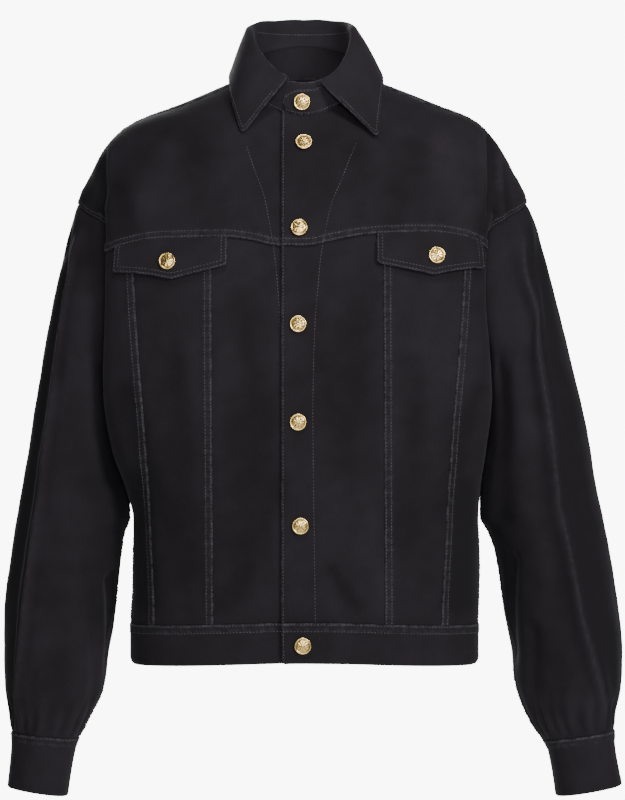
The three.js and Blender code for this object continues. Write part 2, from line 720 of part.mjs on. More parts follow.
function addStand() {
  const angleOf = (x) => solve(x, -60, 60, (angle) => standPoint(angle, STAND_HEIGHT).x);
  const sewn = FALL_TURNS.map((turn) => 180 - turn).reverse();
  const ends = shares(STAND_STEPS.end).slice(0, -1);
  const angles = [
    ...ends.map((share) => lerp(angleOf(STAND_END.topX), sewn[0], share)),
    ...sewn,
    ...ends.map((share) => lerp(360 + angleOf(STAND_END.underX), sewn.at(-1), share)).reverse(),
  ];
  const columns = angles.map((a, j) => {
    const { x } = standPoint(a, STAND_HEIGHT);
    const endX = a < 180 ? STAND_END.topX : STAND_END.underX;
    const isSewn = j >= ends.length && j < ends.length + sewn.length;
    const loss = isSewn ? 0 : roundLoss(Math.abs(x - endX));
    return { a, lift: standLift(a), top: STAND_HEIGHT - loss };
  });
  const places = shares(STAND_STEPS.up).map((up) =>
    columns.map(({ a, lift, top }) => ({ a, lift, b: lerp(SEAM_GAP + lift, top, up) })),
  );
  add("collar_stand", wallOn(standPoint, standNormal, places, DOUBLE_CLOTH));
}

// The collar fall's surface, midway in its cloth: a turn from the middle of the back, negative on
// the wearer's right, and a way of three stretches: up the inside, over the fold, down the outside.
const fallAt = { right: rowsAlong(FALL.right, "turn"), left: rowsAlong(FALL.left, "turn") };
function fallPoint(turn, way) {
  const row = fallAt[turn < 0 ? "right" : "left"](Math.abs(turn));
  const angle = 180 - turn;
  const outwards = standNormal(angle, STAND_HEIGHT).setZ(0).normalize();
  const base = standPoint(angle, STAND_HEIGHT);
  base.addScaledVector(outwards, standLift(angle) - DOUBLE_CLOTH / 2);
  base.z += FALL_GAP;
  if (way < 1) {
    base.z += row.rise * way;
    return base.addScaledVector(outwards, row.lean * way);
  }
  base.z += row.rise;
  const bend = Math.PI * Math.min(way - 1, 1);
  base.z += FOLD_RADIUS * Math.sin(bend);
  base.addScaledVector(outwards, row.lean + FOLD_RADIUS * (1 - Math.cos(bend)));
  if (way < 2) return base;
  const down = way - 2;
  const edge = new THREE.Vector3(row.x * Math.sign(turn || 1), row.y, row.z);
  return base.lerp(edge, down).addScaledVector(outwards, row.bulge * 4 * down * (1 - down));
}
const fallNormal = normalTo(fallPoint, 1, 0.3, 0.04);

function addFall() {
  const { rise, fold, outside } = COLLAR_STEPS;
  const ways = [rise, fold, outside].flatMap((count, k) =>
    shares(count)
      .slice(k > 0 ? 1 : 0)
      .map((share) => k + share),
  );
  const places = FALL_TURNS.map((a) => ways.map((b) => ({ a, b, lift: DOUBLE_CLOTH / 2 })));
  add("collar_fall", wallOn(fallPoint, fallNormal, places, DOUBLE_CLOTH));
}

// A chest pocket flap, hanging from the yoke seam over the pocket panel.
const flapLift = (down) => {
  const standoff = lerp(FLAP_STANDOFF.top, FLAP_STANDOFF.bottom, Math.sin((Math.PI * down) / 2));
  return SEAM_GAP + DOUBLE_CLOTH + standoff;
};
function flapPlace(side, x, down) {
  const rows = FLAPS[side];
  const next = Math.max(1, rows.findIndex((row) => row.x >= x));
  const share = (x - rows[next - 1].x) / (rows[next].x - rows[next - 1].x);
  const depth = lerp(rows[next - 1].depth, rows[next].depth, share);
  const seamX = SIGN[side] * x;
  const seamRun = frontYokeRun(frontAngle(seamX, runAtZ(yokeHeight(seamX))));
  const b = seamRun - SEAM_GAP / 2 - depth * down;
  return { a: frontAngle(seamX, b), b, lift: flapLift(down) };
}

function addFlap(side) {
  const [first, last] = [FLAPS[side][0].x, FLAPS[side].at(-1).x];
  const places = shares(FLAP_STEPS.down).map((down) =>
    shares(FLAP_STEPS.across).map((share) => flapPlace(side, lerp(first, last, share), down)),
  );
  add(`pocket_flap_${side}`, wallOnBody(places, DOUBLE_CLOTH));
}

// A shank button standing on a point, with its back to the cloth.
function addButton(name, point, normal) {
  const { radius, rim, thick, dome, shank, shankHeight, sides } = BUTTON;
  const face = shankHeight + thick;
  const profile = [
    [0, 0],
    [shank, 0],
    [shank, shankHeight],
    [rim, shankHeight],
    [radius, shankHeight + thick / 2],
    [rim, face],
    [rim / 2, face + dome * 0.75],
    [0, face + dome],
  ].map(([x, y]) => new THREE.Vector2(x, y));
  const button = add(name, closedLathe(profile, sides), gold);
  button.position.copy(point).addScaledVector(normal, SEAM_GAP);
  button.quaternion.setFromUnitVectors(new THREE.Vector3(0, 1, 0), normal);
}

// A lathed solid without the seam that LatheGeometry leaves.
function closedLathe(profile, sides) {
  const geometry = new THREE.LatheGeometry(profile, sides);
  geometry.deleteAttribute("normal");
  geometry.deleteAttribute("uv");
  const merged = mergeVertices(geometry, 1e-3);
  merged.computeVertexNormals();
  return merged;
}

function addBodyButton(name, x, z, lift) {
  const run = solve(z, 0, runAtZ(-40), (at) => bodyPoint(frontAngle(x, at), at).z);
  const angle = frontAngle(x, run);
  const normal = bodyNormal(angle, run);
  addButton(name, bodyPoint(angle, run).addScaledVector(normal, lift(angle, run)), normal);
}

function addButtons() {
  FRONT_BUTTONS.forEach(({ x, z }, i) => {
    addBodyButton(`button_front_${i + 1}`, x, z, (a, b) => overlapLift(a, b, CLOTH));
  });
  const bandLift = (a, b) => BAND_LIFT + overlapLift(a, b, BAND_CLOTH);
  addBodyButton("button_hem", HEM_BUTTON.x, HEM_BUTTON.z, bandLift);
  const height = STAND_HEIGHT * STAND_BUTTON.share;
  const angle = solve(STAND_BUTTON.x, -60, 60, (at) => standPoint(at, height).x);
  const normal = standNormal(angle, height);
  addButton("button_stand", standPoint(angle, height).addScaledVector(normal, standLift(angle)), normal);
  for (const side of SIDES) {
    const { x, z } = FLAP_BUTTONS[side];
    addBodyButton(`button_flap_${side}`, SIGN[side] * x, z, () => flapLift(1));
    const { surface, normal: cuffNormal, cuffRun, endRun } = sleeves[side];
    const turn = (CUFF_LAP.over + CUFF_LAP.under) / 2 - 360;
    const run = (cuffRun + endRun) / 2;
    const out = cuffNormal(turn, run);
    addButton(`button_cuff_${side}`, surface(turn, run).addScaledVector(out, cuffLift(turn)), out);
  }
}

for (const side of SIDES) {
  addFront(side);
  addFlap(side);
  addSleeve(side);
  addCuff(side);
}
addBack();
addHemBand();
addStand();
addFall();
addButtons();

export default jacket;
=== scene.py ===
# Looks of the denim jacket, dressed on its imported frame. Sizes are in millimetres, as in the part's
# source, and become metres where meshes are made. The front faces -Y, and +X is the wearer's left.
import math

import bpy
import numpy as np
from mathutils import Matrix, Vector
from mathutils.bvhtree import BVHTree


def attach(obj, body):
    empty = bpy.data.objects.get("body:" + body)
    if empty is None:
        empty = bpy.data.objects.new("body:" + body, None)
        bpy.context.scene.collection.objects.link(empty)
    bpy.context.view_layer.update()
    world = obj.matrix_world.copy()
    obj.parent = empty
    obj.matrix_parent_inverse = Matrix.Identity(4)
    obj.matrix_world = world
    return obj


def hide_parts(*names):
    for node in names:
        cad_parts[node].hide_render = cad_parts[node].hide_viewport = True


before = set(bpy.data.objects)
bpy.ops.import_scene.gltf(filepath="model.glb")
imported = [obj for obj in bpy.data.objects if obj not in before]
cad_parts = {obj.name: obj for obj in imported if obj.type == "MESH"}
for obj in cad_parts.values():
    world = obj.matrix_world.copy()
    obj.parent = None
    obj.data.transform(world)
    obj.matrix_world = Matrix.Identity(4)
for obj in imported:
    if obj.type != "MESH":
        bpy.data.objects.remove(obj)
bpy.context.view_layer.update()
MM = 0.001


# Camera at the photograph's viewing angle: level, straight in front.
VIEW = {"x": 9.35, "z": -338, "distance": 4000, "height": 880}


def add_camera():
    camera = bpy.data.objects.new("camera", bpy.data.cameras.new("camera"))
    camera.data.lens = camera.data.sensor_width * VIEW["distance"] / VIEW["height"]
    camera.data.clip_end = 50
    camera.location = Vector((VIEW["x"], -VIEW["distance"], VIEW["z"])) * MM
    camera.rotation_euler = (math.pi / 2, 0, 0)
    bpy.context.collection.objects.link(camera)
    bpy.context.scene.camera = camera


# Small helpers.
def table(names, rows):
    """The columns of a table by name."""
    return dict(zip(names.split(), np.array(rows, float).T))


def shares(steps):
    return np.linspace(0, 1, steps + 1)


def lerp(start, end, share):
    return start + (end - start) * share


def smooth(value, low, high):
    share = np.clip((value - low) / (high - low), 0, 1)
    return share * share * (3 - 2 * share)


def bell(distance, spread):
    return np.exp(-((distance / spread) ** 2))


def rounded(value, square):
    return np.sign(value) * np.abs(value) ** (2 / square)


def length_of(vectors):
    return np.linalg.norm(vectors, axis=-1)


def unit(vectors):
    return vectors / np.maximum(length_of(vectors), 1e-9)[..., None]


def curve(x, y):
    """A smooth curve through points, level beyond its ends."""
    slopes = np.diff(y) / np.diff(x)
    before = np.concatenate([slopes[:1], slopes])
    after = np.concatenate([slopes, slopes[-1:]])
    same = before * after > 0
    tangents = np.where(same, 2 * before * after / np.where(same, before + after, 1), 0)

    def value(at):
        at = np.clip(at, x[0], x[-1])
        i = np.clip(np.searchsorted(x, at, side="right") - 1, 0, len(x) - 2)
        span = x[i + 1] - x[i]
        t = (at - x[i]) / span
        rest = 1 - t
        ends = y[i] * (1 + 2 * t) * rest**2 + y[i + 1] * t**2 * (3 - 2 * t)
        return ends + span * t * rest * (tangents[i] * rest - tangents[i + 1] * t)

    return value


def curves(columns, key):
    """One function that gives all of a table's columns along its key column."""
    lines = {name: curve(columns[key], columns[name]) for name in columns if name != key}
    return lambda at: {name: line(at) for name, line in lines.items()}


def with_run(columns, x, z):
    """The table with a run column: the distance along the line of the points (x, z)."""
    steps = np.hypot(np.diff(x), np.diff(z))
    return {**columns, "run": np.concatenate([[0], np.cumsum(steps)])}


def solve(value, low, high, of):
    """The arguments between low and high at which a rising or falling function has the values."""
    value = np.asarray(value, float)
    low = np.full(value.shape, float(low))
    high = np.full(value.shape, float(high))
    rising = of(high) > of(low)
    for _ in range(30):
        middle = (low + high) / 2
        above = (of(middle) < value) == rising
        low = np.where(above, middle, low)
        high = np.where(above, high, middle)
    return (low + high) / 2


def normal_to(surface, turned=1, step_a=0.3, step_b=1.0):
    """The normal of a surface, which is a function from two arguments to a point."""

    def normal(a, b):
        along_a = surface(a + step_a, b) - surface(a - step_a, b)
        along_b = surface(a, b + step_b) - surface(a, b - step_b)
        return unit(np.cross(along_a, along_b)) * turned

    return normal


# Sizes that are the same as the solids'.
SEAM_GAP = 0.3
CLOTH = 1.6
DOUBLE_CLOTH = 2.4
BAND_CLOTH = 2.8
HEM_SEAM_Z = -582
FRONT_EDGE_X = -24
UNDER_EDGE_X = 13
BAND_LIFT = 0.6
BACK_YOKE_Z = -180
ARMHOLE = {"top": -121.3, "bottom": -300, "half_depth": 62, "square": 2.5, "yoke_turn": 75}
SHOULDER_SEAM = {"ridge_z": -45, "front_z": -5, "ridge_angle": 90, "front_angle": 75}
LOWER_ROWS = {"below": 6, "armhole": 7}
UPPER_ROWS = {"armhole": 5, "shoulder": 7}
PINCH_SPREAD = 16
GROOVES = {"angle": (76, 75), "spread": (4.5, 6)}  # right and left
SIDES = {"right": -1, "left": 1}

BODY = table("z right left front back drop rise square pinch_right pinch_left groove", [
    [-626, 190, 191, 112, 106, 6, 4, 3.1, 0, 0, 0],
    [-582, 190, 191, 116, 110, 6, 4, 3.1, 0, 0, 0],
    [-530, 188, 192, 121, 114, 2, 1, 3.1, 0, 0, 0],
    [-470, 190, 193, 124, 117, 0, 0, 3.2, 4, 3, 0],
    [-437, 202, 198, 125, 118, 0, 0, 3.4, 15, 9, 0],
    [-392, 225, 208, 126, 119, 0, 0, 3.7, 38, 20, 0],
    [-338, 238, 216, 126, 120, 0, 0, 3.9, 52, 27, 0],
    [-274, 241, 218, 124, 122, 0, 0, 3.9, 54, 28, 8],
    [-228, 241, 219, 121, 122, 0, 0, 3.9, 45, 22, 22],
    [-170, 244, 227, 115, 121, 0, 0, 3.6, 24, 10, 25],
    [-121.3, 247.5, 243.5, 107, 117, 0, 0, 3, 0, 0, 13],
    [-90, 234, 230, 101, 112, -4, 0, 2.7, 0, 0, 6],
    [-63, 220, 216, 94, 106, -12, 2, 2.5, 0, 0, 2],
    [-41, 199, 199, 88, 101, -20, 4, 2.4, 0, 0, 0],
    [-30, 178, 184, 84, 97, -24, 5, 2.4, 0, 0, 0],
    [-19, 150, 159, 79, 90, -29, 6, 2.3, 0, 0, 0],
    [-3.3, 113, 121, 72, 79, -37, 7, 2.2, 0, 0, 0],
    [11, 80, 84, 64, 66, -43, 9, 2.1, 0, 0, 0],
])

YOKE_SEAM = table("x z", [
    [-230, -180],
    [-212, -176],
    [-194, -170],
    [-160, -165],
    [-84, -164],
    [-58, -167],
    [-24, -173.5],
    [5, -173.5],
    [30, -168],
    [75, -160.5],
    [140, -158],
    [175, -161],
    [195, -167],
    [215, -175],
    [230, -180],
])

# Distance of the felled seams from the middle, at the hem and at the yoke.
SEAMS = {
    "right": {"inner": (101, 103), "outer": (165, 188), "back": (84, 100)},
    "left": {"inner": (91, 89), "outer": (152, 178), "back": (84, 100)},
}

SLEEVE_COLUMNS = "out_x out_z in_x in_z front back ahead"
SLEEVES = {
    "right": table(SLEEVE_COLUMNS, [
        [-247.5, -121.3, -187, -300, 62, 62, 0],
        [-254, -140, -196, -319, 66, 66, 0],
        [-263, -173, -201, -340, 70, 72, 0],
        [-273, -217, -202, -362, 74, 77, 0],
        [-284, -272, -200, -387, 77, 80, -1],
        [-294, -338, -195, -416, 78, 82, -2],
        [-302.5, -388, -192, -441, 78, 82, -1],
        [-311, -437, -191.5, -466, 77, 81, 1],
        [-316, -470, -198, -485, 76, 80, 3],
        [-321, -503, -201, -508, 75, 78, 5],
        [-329, -569, -206, -567, 72, 74, 10],
        [-330, -613, -211.5, -611, 67, 69, 13],
        [-328, -653, -220.5, -655, 59, 61, 16],
        [-322, -686, -237.5, -690, 48, 50, 18],
        [-319.5, -708.5, -249.5, -716.5, 38.5, 38.5, 19],
        [-323.5, -759.5, -259, -770, 37, 37, 22],
    ]),
    "left": table(SLEEVE_COLUMNS, [
        [243.5, -121.3, 190, -300, 62, 62, 0],
        [253, -140, 196, -319, 66, 66, 0],
        [263, -173, 199, -340, 70, 72, 0],
        [274, -217, 200, -362, 73, 77, 0],
        [287.5, -272, 200, -387, 76, 80, -1],
        [303.5, -338, 196.5, -416, 77, 82, -2],
        [313.5, -388, 194, -441, 77, 82, -1],
        [322, -437, 193.5, -466, 76, 81, 1],
        [329, -470, 203.5, -484, 76, 80, 3],
        [335.5, -503, 211, -506, 75, 78, 5],
        [346.5, -569, 220, -569, 72, 74, 10],
        [350, -613, 227, -613, 67, 69, 13],
        [348.5, -653, 234.5, -655, 59, 61, 16],
        [341, -686, 248.5, -689, 48, 50, 18],
        [339.5, -706.5, 267.5, -721.5, 38.5, 38.5, 19],
        [347, -757.5, 276, -770, 37, 37, 22],
    ]),
}
SLEEVE_SQUARE = 2.25
SLEEVE_BLEND = 90
UNDERARM_TURN = 180
BACK_SEAM_TURN = 315
PRESSED_SPREAD = 10

PRESSED_EDGE = {
    "right": table("run turn height", [
        [0, 42, 0],
        [40, 34, 2],
        [80, 47, 3.5],
        [150, 54, 4.5],
        [250, 55, 5],
        [330, 58, 5],
        [420, 59.5, 5],
        [470, 58, 4],
        [525, 52, 3],
        [590, 34, 1],
    ]),
    "left": table("run turn height", [
        [0, 34, 1],
        [30, 40, 2],
        [70, 61, 3.5],
        [140, 75, 5],
        [305, 77, 5],
        [380, 80, 5],
        [450, 79, 4.5],
        [510, 71, 3.5],
        [560, 56, 2],
        [592, 45, 1],
    ]),
}

CUFF_LAP = {"over": 292, "under": 330, "flat_from": 356}

STAND_TOP = {
    "z": 44, "right": 57, "left": 56, "front": 66, "back": 57, "drop": -46, "rise": 14, "square": 2.1,
}
STAND_END = {"top_x": -21.5, "under_x": 15, "radius": 20}

FALL_COLUMNS = "turn rise lean bulge x y z"
FALL = {
    "right": table(FALL_COLUMNS, [
        [0, 23, 1, 5, 0, 80, 22],
        [28, 25.5, 1, 5, 40, 74, 21],
        [55, 28, 1, 4, 68, 50, 19],
        [82, 25, 1, 1, 82, 12, 18],
        [106, 20, 2, 1, 81, -28, 8],
        [128, 15, 3, 2, 79, -55, -9],
        [147, 10, 2, 2, 74, -74, -29],
        [165, 6, 1, 1, 67, -88, -53],
    ]),
    "left": table(FALL_COLUMNS, [
        [0, 23, 1, 5, 0, 80, 22],
        [28, 25.5, 1, 5, 40, 75, 21],
        [55, 27, -1, 4, 71, 52, 19],
        [82, 26, -4, 2, 86, 12, 18],
        [108, 16, -3, 3, 86, -28, 8],
        [130, 9, -1, 4, 84, -55, -9],
        [150, 4, 1, 3, 82, -74, -31],
        [166, 2, 1, 1, 80, -90, -57],
    ]),
}
FOLD_RADIUS = 3.2
FALL_GAP = 1

FLAPS = {
    "right": table("x depth", [
        [82, 30.5],
        [112, 38],
        [141, 45],
        [172, 38],
        [202, 30],
    ]),
    "left": table("x depth", [
        [78, 32],
        [110, 40],
        [139, 47],
        [168, 39],
        [191, 32],
    ]),
}
FLAP_STANDOFF = {"top": 0.7, "bottom": 2.4, "edge": 1.4, "depth": 40}
FLAP_SEAM = {"lift": 1.2, "depth": 9}  # where the flap comes out of the yoke's seam

FRONT_BUTTONS = table("x z", [
    [0, -61],
    [-5, -154],
    [-6, -257],
    [-6, -361.5],
    [-3.5, -472],
])
HEM_BUTTON = {"x": -1, "z": -600}
STAND_BUTTON = {"x": -2, "share": 0.55}
FLAP_BUTTONS = {"right": {"x": 145, "z": -190.5}, "left": {"x": 141, "z": -184}}

# Sizes of the looks.
STEP = {"across": 3.6, "along": 2.6}  # of the cloth's grids
NEAR_SEAM = np.array([0, 0.5, 1.2, 2.4, 4.6, 7, 8.4, 9.6, 11.5])  # columns beside a seam
FELL = {"width": 8.6, "rise": 0.7, "pucker": 0.36, "pitch": 9.5}
YOKE_RISE = 1.3
EDGE_DROP = 0.6
TUCK = {"reach": 3, "drop": 1.8}  # how cloth goes on beneath what is sewn over it
HOLLOW = 0.5  # depth of the cloth beside a felled edge
CORNER = 3.5  # radius of the corners between free edges
COLLAR_TIP = 9  # the same for the collar's points
THREAD = {"length": 2.4, "gap": 1.2, "width": 0.8, "height": 0.42}
TWIN = (1.6, 7.4)  # insets of a seam's two rows of stitches
PLACKET = {"rise": 0.8, "hollow": 1.7, "beside": 1.6, "spread": 2.3}
HEM_CURL = {"height": 9, "side": 6, "elsewhere": 0.8, "spread": 24}
SLEEVE_STEP = {"across": 2.3, "along": 2.9}
# The pressed creases of the sleeves: a sharp ridge with a trough outside it and one inside.
SLEEVE_ARC = 1.08  # millimetres round the sleeve for each degree
# The crease's wear value lightens its ridge: partly real crease wear, partly a painted highlight.
CREASE = {"height": 1.5, "sharp": 2.2, "outside": 9, "inside": 10, "spread": 5.5, "wear_and_highlight": 0.28}
CREASE_TROUGHS = {"right": (4.2, 0.8), "left": (1.8, 1.2)}
CREASE_PLANE = {"right": 9, "left": 4, "middle": 27, "spread": 13}  # the flat cloth outside
GATHER = {"pitch": 19, "depth": 0.9, "reach": 60, "seam": 8}
UNDER_PEAK = {"height": 8.5, "over": 12, "x": 31, "radius": 6}  # over is in degrees
INNER_ROW_Z = 69  # height of the straight row inside the back of the collar
BUTTON_SCALE = 0.91
CUFF_RAISE = 8  # how far the cuff's seam sits up the sleeve

# Soft drape folds of the front and the back: lines from one place to another as seen from the
# front, with a half-width and a depth inwards. A negative depth is a ridge.
BODY_FOLDS = {
    "front": table("x z to_x to_z width depth", [
        [-219, -54, -220, -134, 4.6, 6.5],
        [-211, -56, -212, -130, 5, -1.4],
        [-232, -80, -238, -120, 7, 2.6],
        [203, -40, 205, -134, 4.6, 7],
        [194, -50, 196, -130, 5, -1.4],
        [211, -70, 214, -136, 3.4, -2.2],
        [218, -84, 222, -132, 3.6, 2.2],
        [-206, -110, -186, -158, 15, 2.2],
        [-150, -70, -176, -150, 22, -1.6],
        [-120, -60, -100, -140, 24, 1.4],
        [150, -64, 182, -146, 22, -1.6],
        [120, -70, 96, -140, 24, 1.4],
        [208, -120, 190, -160, 14, 2.0],
        [-62, -230, -54, -420, 22, 1.5],
        [-138, -300, -128, -520, 16, 1.6],
        [60, -240, 48, -400, 20, 1.3],
        [118, -300, 112, -480, 16, 1.5],
        [-180, -420, -172, -560, 12, 2.2],
        [172, -430, 168, -560, 12, 2.2],
        [30, -520, 54, -562, 9, 1.8],
        [-60, -520, -92, -566, 12, 1.4],
        [-192, -330, -150, -470, 14, 1.8],
        [186, -330, 150, -450, 14, 1.6],
        [70, -470, 84, -556, 12, -1.2],
        [-30, -440, -70, -500, 16, 1.2],
    ]),
    "back": table("x z to_x to_z width depth", [
        [-120, -60, -150, -150, 24, 1.6],
        [130, -64, 150, -150, 24, 1.6],
        [-20, -80, 10, -150, 30, 1.2],
        [-150, -220, -110, -420, 22, 2.4],
        [150, -230, 120, -400, 22, 2.2],
        [-40, -240, -20, -460, 26, 1.8],
        [40, -300, 60, -520, 24, 1.8],
        [-70, -430, -90, -566, 14, 1.8],
        [100, -440, 84, -566, 14, 1.8],
        [-176, -400, -160, -560, 13, 2.2],
        [178, -410, 166, -560, 13, 2.2],
        [10, -520, -14, -566, 12, 1.4],
    ]),
}

# Folds of the sleeves, in runs from the armhole and turns round the sleeve. The first five are the
# solids' own.
SLEEVE_FOLDS = {
    "right": table("run turn to_run to_turn width depth", [
        [70, 118, 250, 140, 16, 5],
        [420, 150, 505, 176, 13, 7],
        [470, 128, 545, 150, 12, 5],
        [250, 232, 430, 262, 18, 6],
        [520, 262, 590, 268, 12, 4],
        [120, 84, 300, 92, 18, 1.6],
        [330, 70, 470, 92, 16, 1.8],
        [440, 20, 560, 8, 15, 1.8],
        [60, 330, 260, 344, 22, 1.8],
        [300, 318, 480, 338, 18, 2],
        [520, 70, 586, 62, 9, 2.2],
        [540, 104, 588, 98, 8, 1.8],
        [545, 32, 590, 38, 8, 1.8],
    ]),
    "left": table("run turn to_run to_turn width depth", [
        [60, 122, 330, 136, 18, 8],
        [400, 140, 500, 170, 13, 7],
        [480, 126, 560, 140, 12, 5],
        [250, 236, 430, 258, 18, 6],
        [520, 266, 590, 262, 12, 4],
        [100, 92, 290, 98, 16, 1.6],
        [380, 92, 520, 104, 14, 2],
        [440, 24, 570, 12, 15, 1.8],
        [60, 330, 260, 344, 22, 1.8],
        [300, 318, 480, 338, 18, 2],
        [530, 84, 590, 92, 9, 2.2],
        [545, 58, 588, 52, 8, 1.8],
        [550, 116, 590, 108, 8, 1.8],
    ]),
}

# The stitch lines that hold the facings behind the two fronts.
FACING_LINES = {
    "left": table("x z", [
        [56.9, -60.4],
        [50.5, -75.4],
        [40.8, -101],
        [29.1, -129.8],
        [22.7, -159.7],
        [17.4, -191.7],
        [15.2, -217.4],
        [12, -256.9],
        [10.5, -299.6],
        [9.7, -348.7],
        [10.5, -433],
        [11.5, -509.9],
        [12.4, -577],
    ]),
    "right": table("x z", [
        [-61.6, -64.7],
        [-53.1, -90.3],
        [-42.4, -120.2],
        [-35, -158.6],
        [-31.8, -178.9],
        [-28.5, -209.9],
        [-26.4, -236.6],
        [-25.2, -262],
    ]),
}

# The body's surface: an angle, 0 in front, 90 at the wearer's left and 180 behind, and a run up
# the side from the hem.
BODY_ROWS = with_run(BODY, (BODY["right"] + BODY["left"]) / 2, BODY["z"])
body_at = curves(BODY_ROWS, "run")
height_at = curve(BODY_ROWS["run"], BODY_ROWS["z"])
NECK_RUN = BODY_ROWS["run"][-1]


def run_at_z(z):
    return solve(z, 0, NECK_RUN, height_at)


HEM_RUN, UNDERARM_RUN, SHOULDER_RUN = run_at_z([HEM_SEAM_Z, ARMHOLE["bottom"], ARMHOLE["top"]])


def ring_point(angle, ring):
    sine = np.sin(np.radians(angle))
    cosine = np.cos(np.radians(angle))
    half = np.where(sine < 0, ring["right"], ring["left"])
    depth = np.where(cosine > 0, ring["front"], ring["back"])
    total = np.abs(sine / half) ** ring["square"] + np.abs(cosine / depth) ** ring["square"]
    radius = total ** (-1 / ring["square"])
    tilt = np.where(cosine > 0, ring["drop"], ring["rise"]) * cosine**2
    return np.stack([radius * sine, -radius * cosine, ring["z"] + tilt], axis=-1)


def body_point(angle, run):
    angle, run = np.broadcast_arrays(angle, run)
    ring = body_at(run)
    point = ring_point(angle, ring)
    turn = np.degrees(np.arccos(np.abs(np.cos(np.radians(angle)))))
    middle, spread = (np.where(point[..., 0] < 0, *GROOVES[name]) for name in ("angle", "spread"))
    groove = ring["groove"] * bell(turn - middle, spread)
    point[..., :2] *= (1 - groove / length_of(point[..., :2]))[..., None]
    pinch = np.where(point[..., 0] < 0, ring["pinch_right"], ring["pinch_left"])
    point[..., 0] -= np.sign(point[..., 0]) * pinch * bell(turn - 90, PINCH_SPREAD)
    return point


body_normal = normal_to(body_point)


def angle_at(x, run, middle=0):
    """The angle at which the front (middle 0) or the back (middle 180) is at x."""
    x, run = np.broadcast_arrays(x, run)
    return solve(x, middle - 80, middle + 80, lambda angle: body_point(angle, run)[..., 0])


def front_place(x, z):
    """Angle and run of places of the front as seen from the front."""
    run = run_at_z(z)
    for _ in range(5):
        angle = angle_at(x, run)
        run = run + z - body_point(angle, run)[..., 2]
    return angle, run


def armhole_place(side, turn):
    middle = (ARMHOLE["top"] + ARMHOLE["bottom"]) / 2
    half = (ARMHOLE["top"] - ARMHOLE["bottom"]) / 2
    run = run_at_z(middle + half * rounded(np.cos(np.radians(turn)), ARMHOLE["square"]))
    y = -ARMHOLE["half_depth"] * rounded(np.sin(np.radians(turn)), ARMHOLE["square"])
    sign = SIDES[side]
    return sign * solve(y, 40, 140, lambda angle: body_point(sign * angle, run)[..., 1]), run


def tabulated(function, low, high, steps=360):
    """The same function of one argument, read from its values at even steps."""
    at = lerp(low, high, shares(steps))
    values = function(at)
    return lambda value: np.interp(value, at, values)


def yoke_run_of(angle):
    yoke_height = curve(YOKE_SEAM["x"], YOKE_SEAM["z"])

    def above(run):
        point = body_point(angle, run)
        return point[..., 2] - yoke_height(point[..., 0])

    low, high = run_at_z([-230, -110])
    return solve(0 * angle, low, high, above)


yoke_run = tabulated(yoke_run_of, -100, 100)


# Fields of the body, as in the part's source: a place is a share up the field, and an angle.
def lower_edge(side, facing):
    below = shares(LOWER_ROWS["below"] * 20)
    around = shares(LOWER_ROWS["armhole"] * 20)[1:]
    angle, run = armhole_place(side, facing * lerp(180, ARMHOLE["yoke_turn"], around))
    angles = np.concatenate([SIDES[side] * 90 + 0 * below, angle])
    return angles, np.concatenate([lerp(HEM_RUN, UNDERARM_RUN, below), run])


def upper_edge(side, facing):
    around = shares(UPPER_ROWS["armhole"] * 20)
    over = shares(UPPER_ROWS["shoulder"] * 20)[1:]
    angle, run = armhole_place(side, facing * lerp(ARMHOLE["yoke_turn"], 0, around))
    over_run = lerp(SHOULDER_RUN, NECK_RUN, over)
    seam = SHOULDER_SEAM
    turned = smooth(height_at(over_run), seam["ridge_z"], seam["front_z"])
    over_angle = SIDES[side] * lerp(seam["ridge_angle"], seam["front_angle"], turned)
    return np.concatenate([angle, over_angle]), np.concatenate([run, over_run])


def level(run):
    """A field's lower or upper end that is at one run all round."""
    return lambda angle: run


def field_of(middle, edge_of, lower, upper):
    facing = 1 if middle == 0 else -1
    edges = {side: edge_of(side, facing) for side in SIDES}
    if middle:
        edges = {side: (angle % 360, run) for side, (angle, run) in edges.items()}
    return {"middle": middle, "edges": edges, "lower": lower, "upper": upper}


def edge_angle(field, side):
    angle = field["edges"][side][0]
    return lambda up: np.interp(up, shares(len(angle) - 1), angle)


def field_run(field, up, angle):
    up, angle = np.broadcast_arrays(up, angle)
    ends = {}
    for side, columns in field["edges"].items():
        ends[side] = [np.interp(up, shares(len(column) - 1), column) for column in columns]
    on_right = np.sin(np.radians(angle)) < 0
    end_angle, end_run = (np.where(on_right, r, l) for r, l in zip(ends["right"], ends["left"]))
    share = np.abs((angle - field["middle"]) / (end_angle - field["middle"]))
    inside = lerp(field["lower"](angle), field["upper"](angle), up)
    beside_yoke = smooth(up, 0.75, 1) if field["upper"] is yoke_run else 1 - smooth(up, 0, 0.25)
    power = 2 + 8 * beside_yoke * (field["middle"] == 0)
    return lerp(inside, end_run, share**power)


back_yoke_run = run_at_z(BACK_YOKE_Z)
fields = {
    "front_lower": field_of(0, lower_edge, level(HEM_RUN), yoke_run),
    "front_upper": field_of(0, upper_edge, yoke_run, level(NECK_RUN)),
    "back_lower": field_of(180, lower_edge, level(HEM_RUN), level(back_yoke_run)),
    "back_upper": field_of(180, upper_edge, level(back_yoke_run), level(NECK_RUN)),
}


def seam_line(field, bottom_x, top_x):
    """The angle of a seam at each share up a field, from x at its bottom to x at its top."""

    def angles(up):
        x = lerp(bottom_x, top_x, up)
        guess = angle_at(x, field_run(field, up, field["middle"] + np.sign(x)), field["middle"])
        return angle_at(x, field_run(field, up, guess), field["middle"])

    return tabulated(angles, 0, 1, 120)


def overlap_lift(angle, run, thick):
    """How far the top front and its band are lifted over the ones beneath."""
    point = body_point(angle, run)
    lift = (thick + SEAM_GAP) * (1 - smooth(point[..., 0], UNDER_EDGE_X + 3, UNDER_EDGE_X + 40))
    return np.where(point[..., 1] > 0, 0, lift)


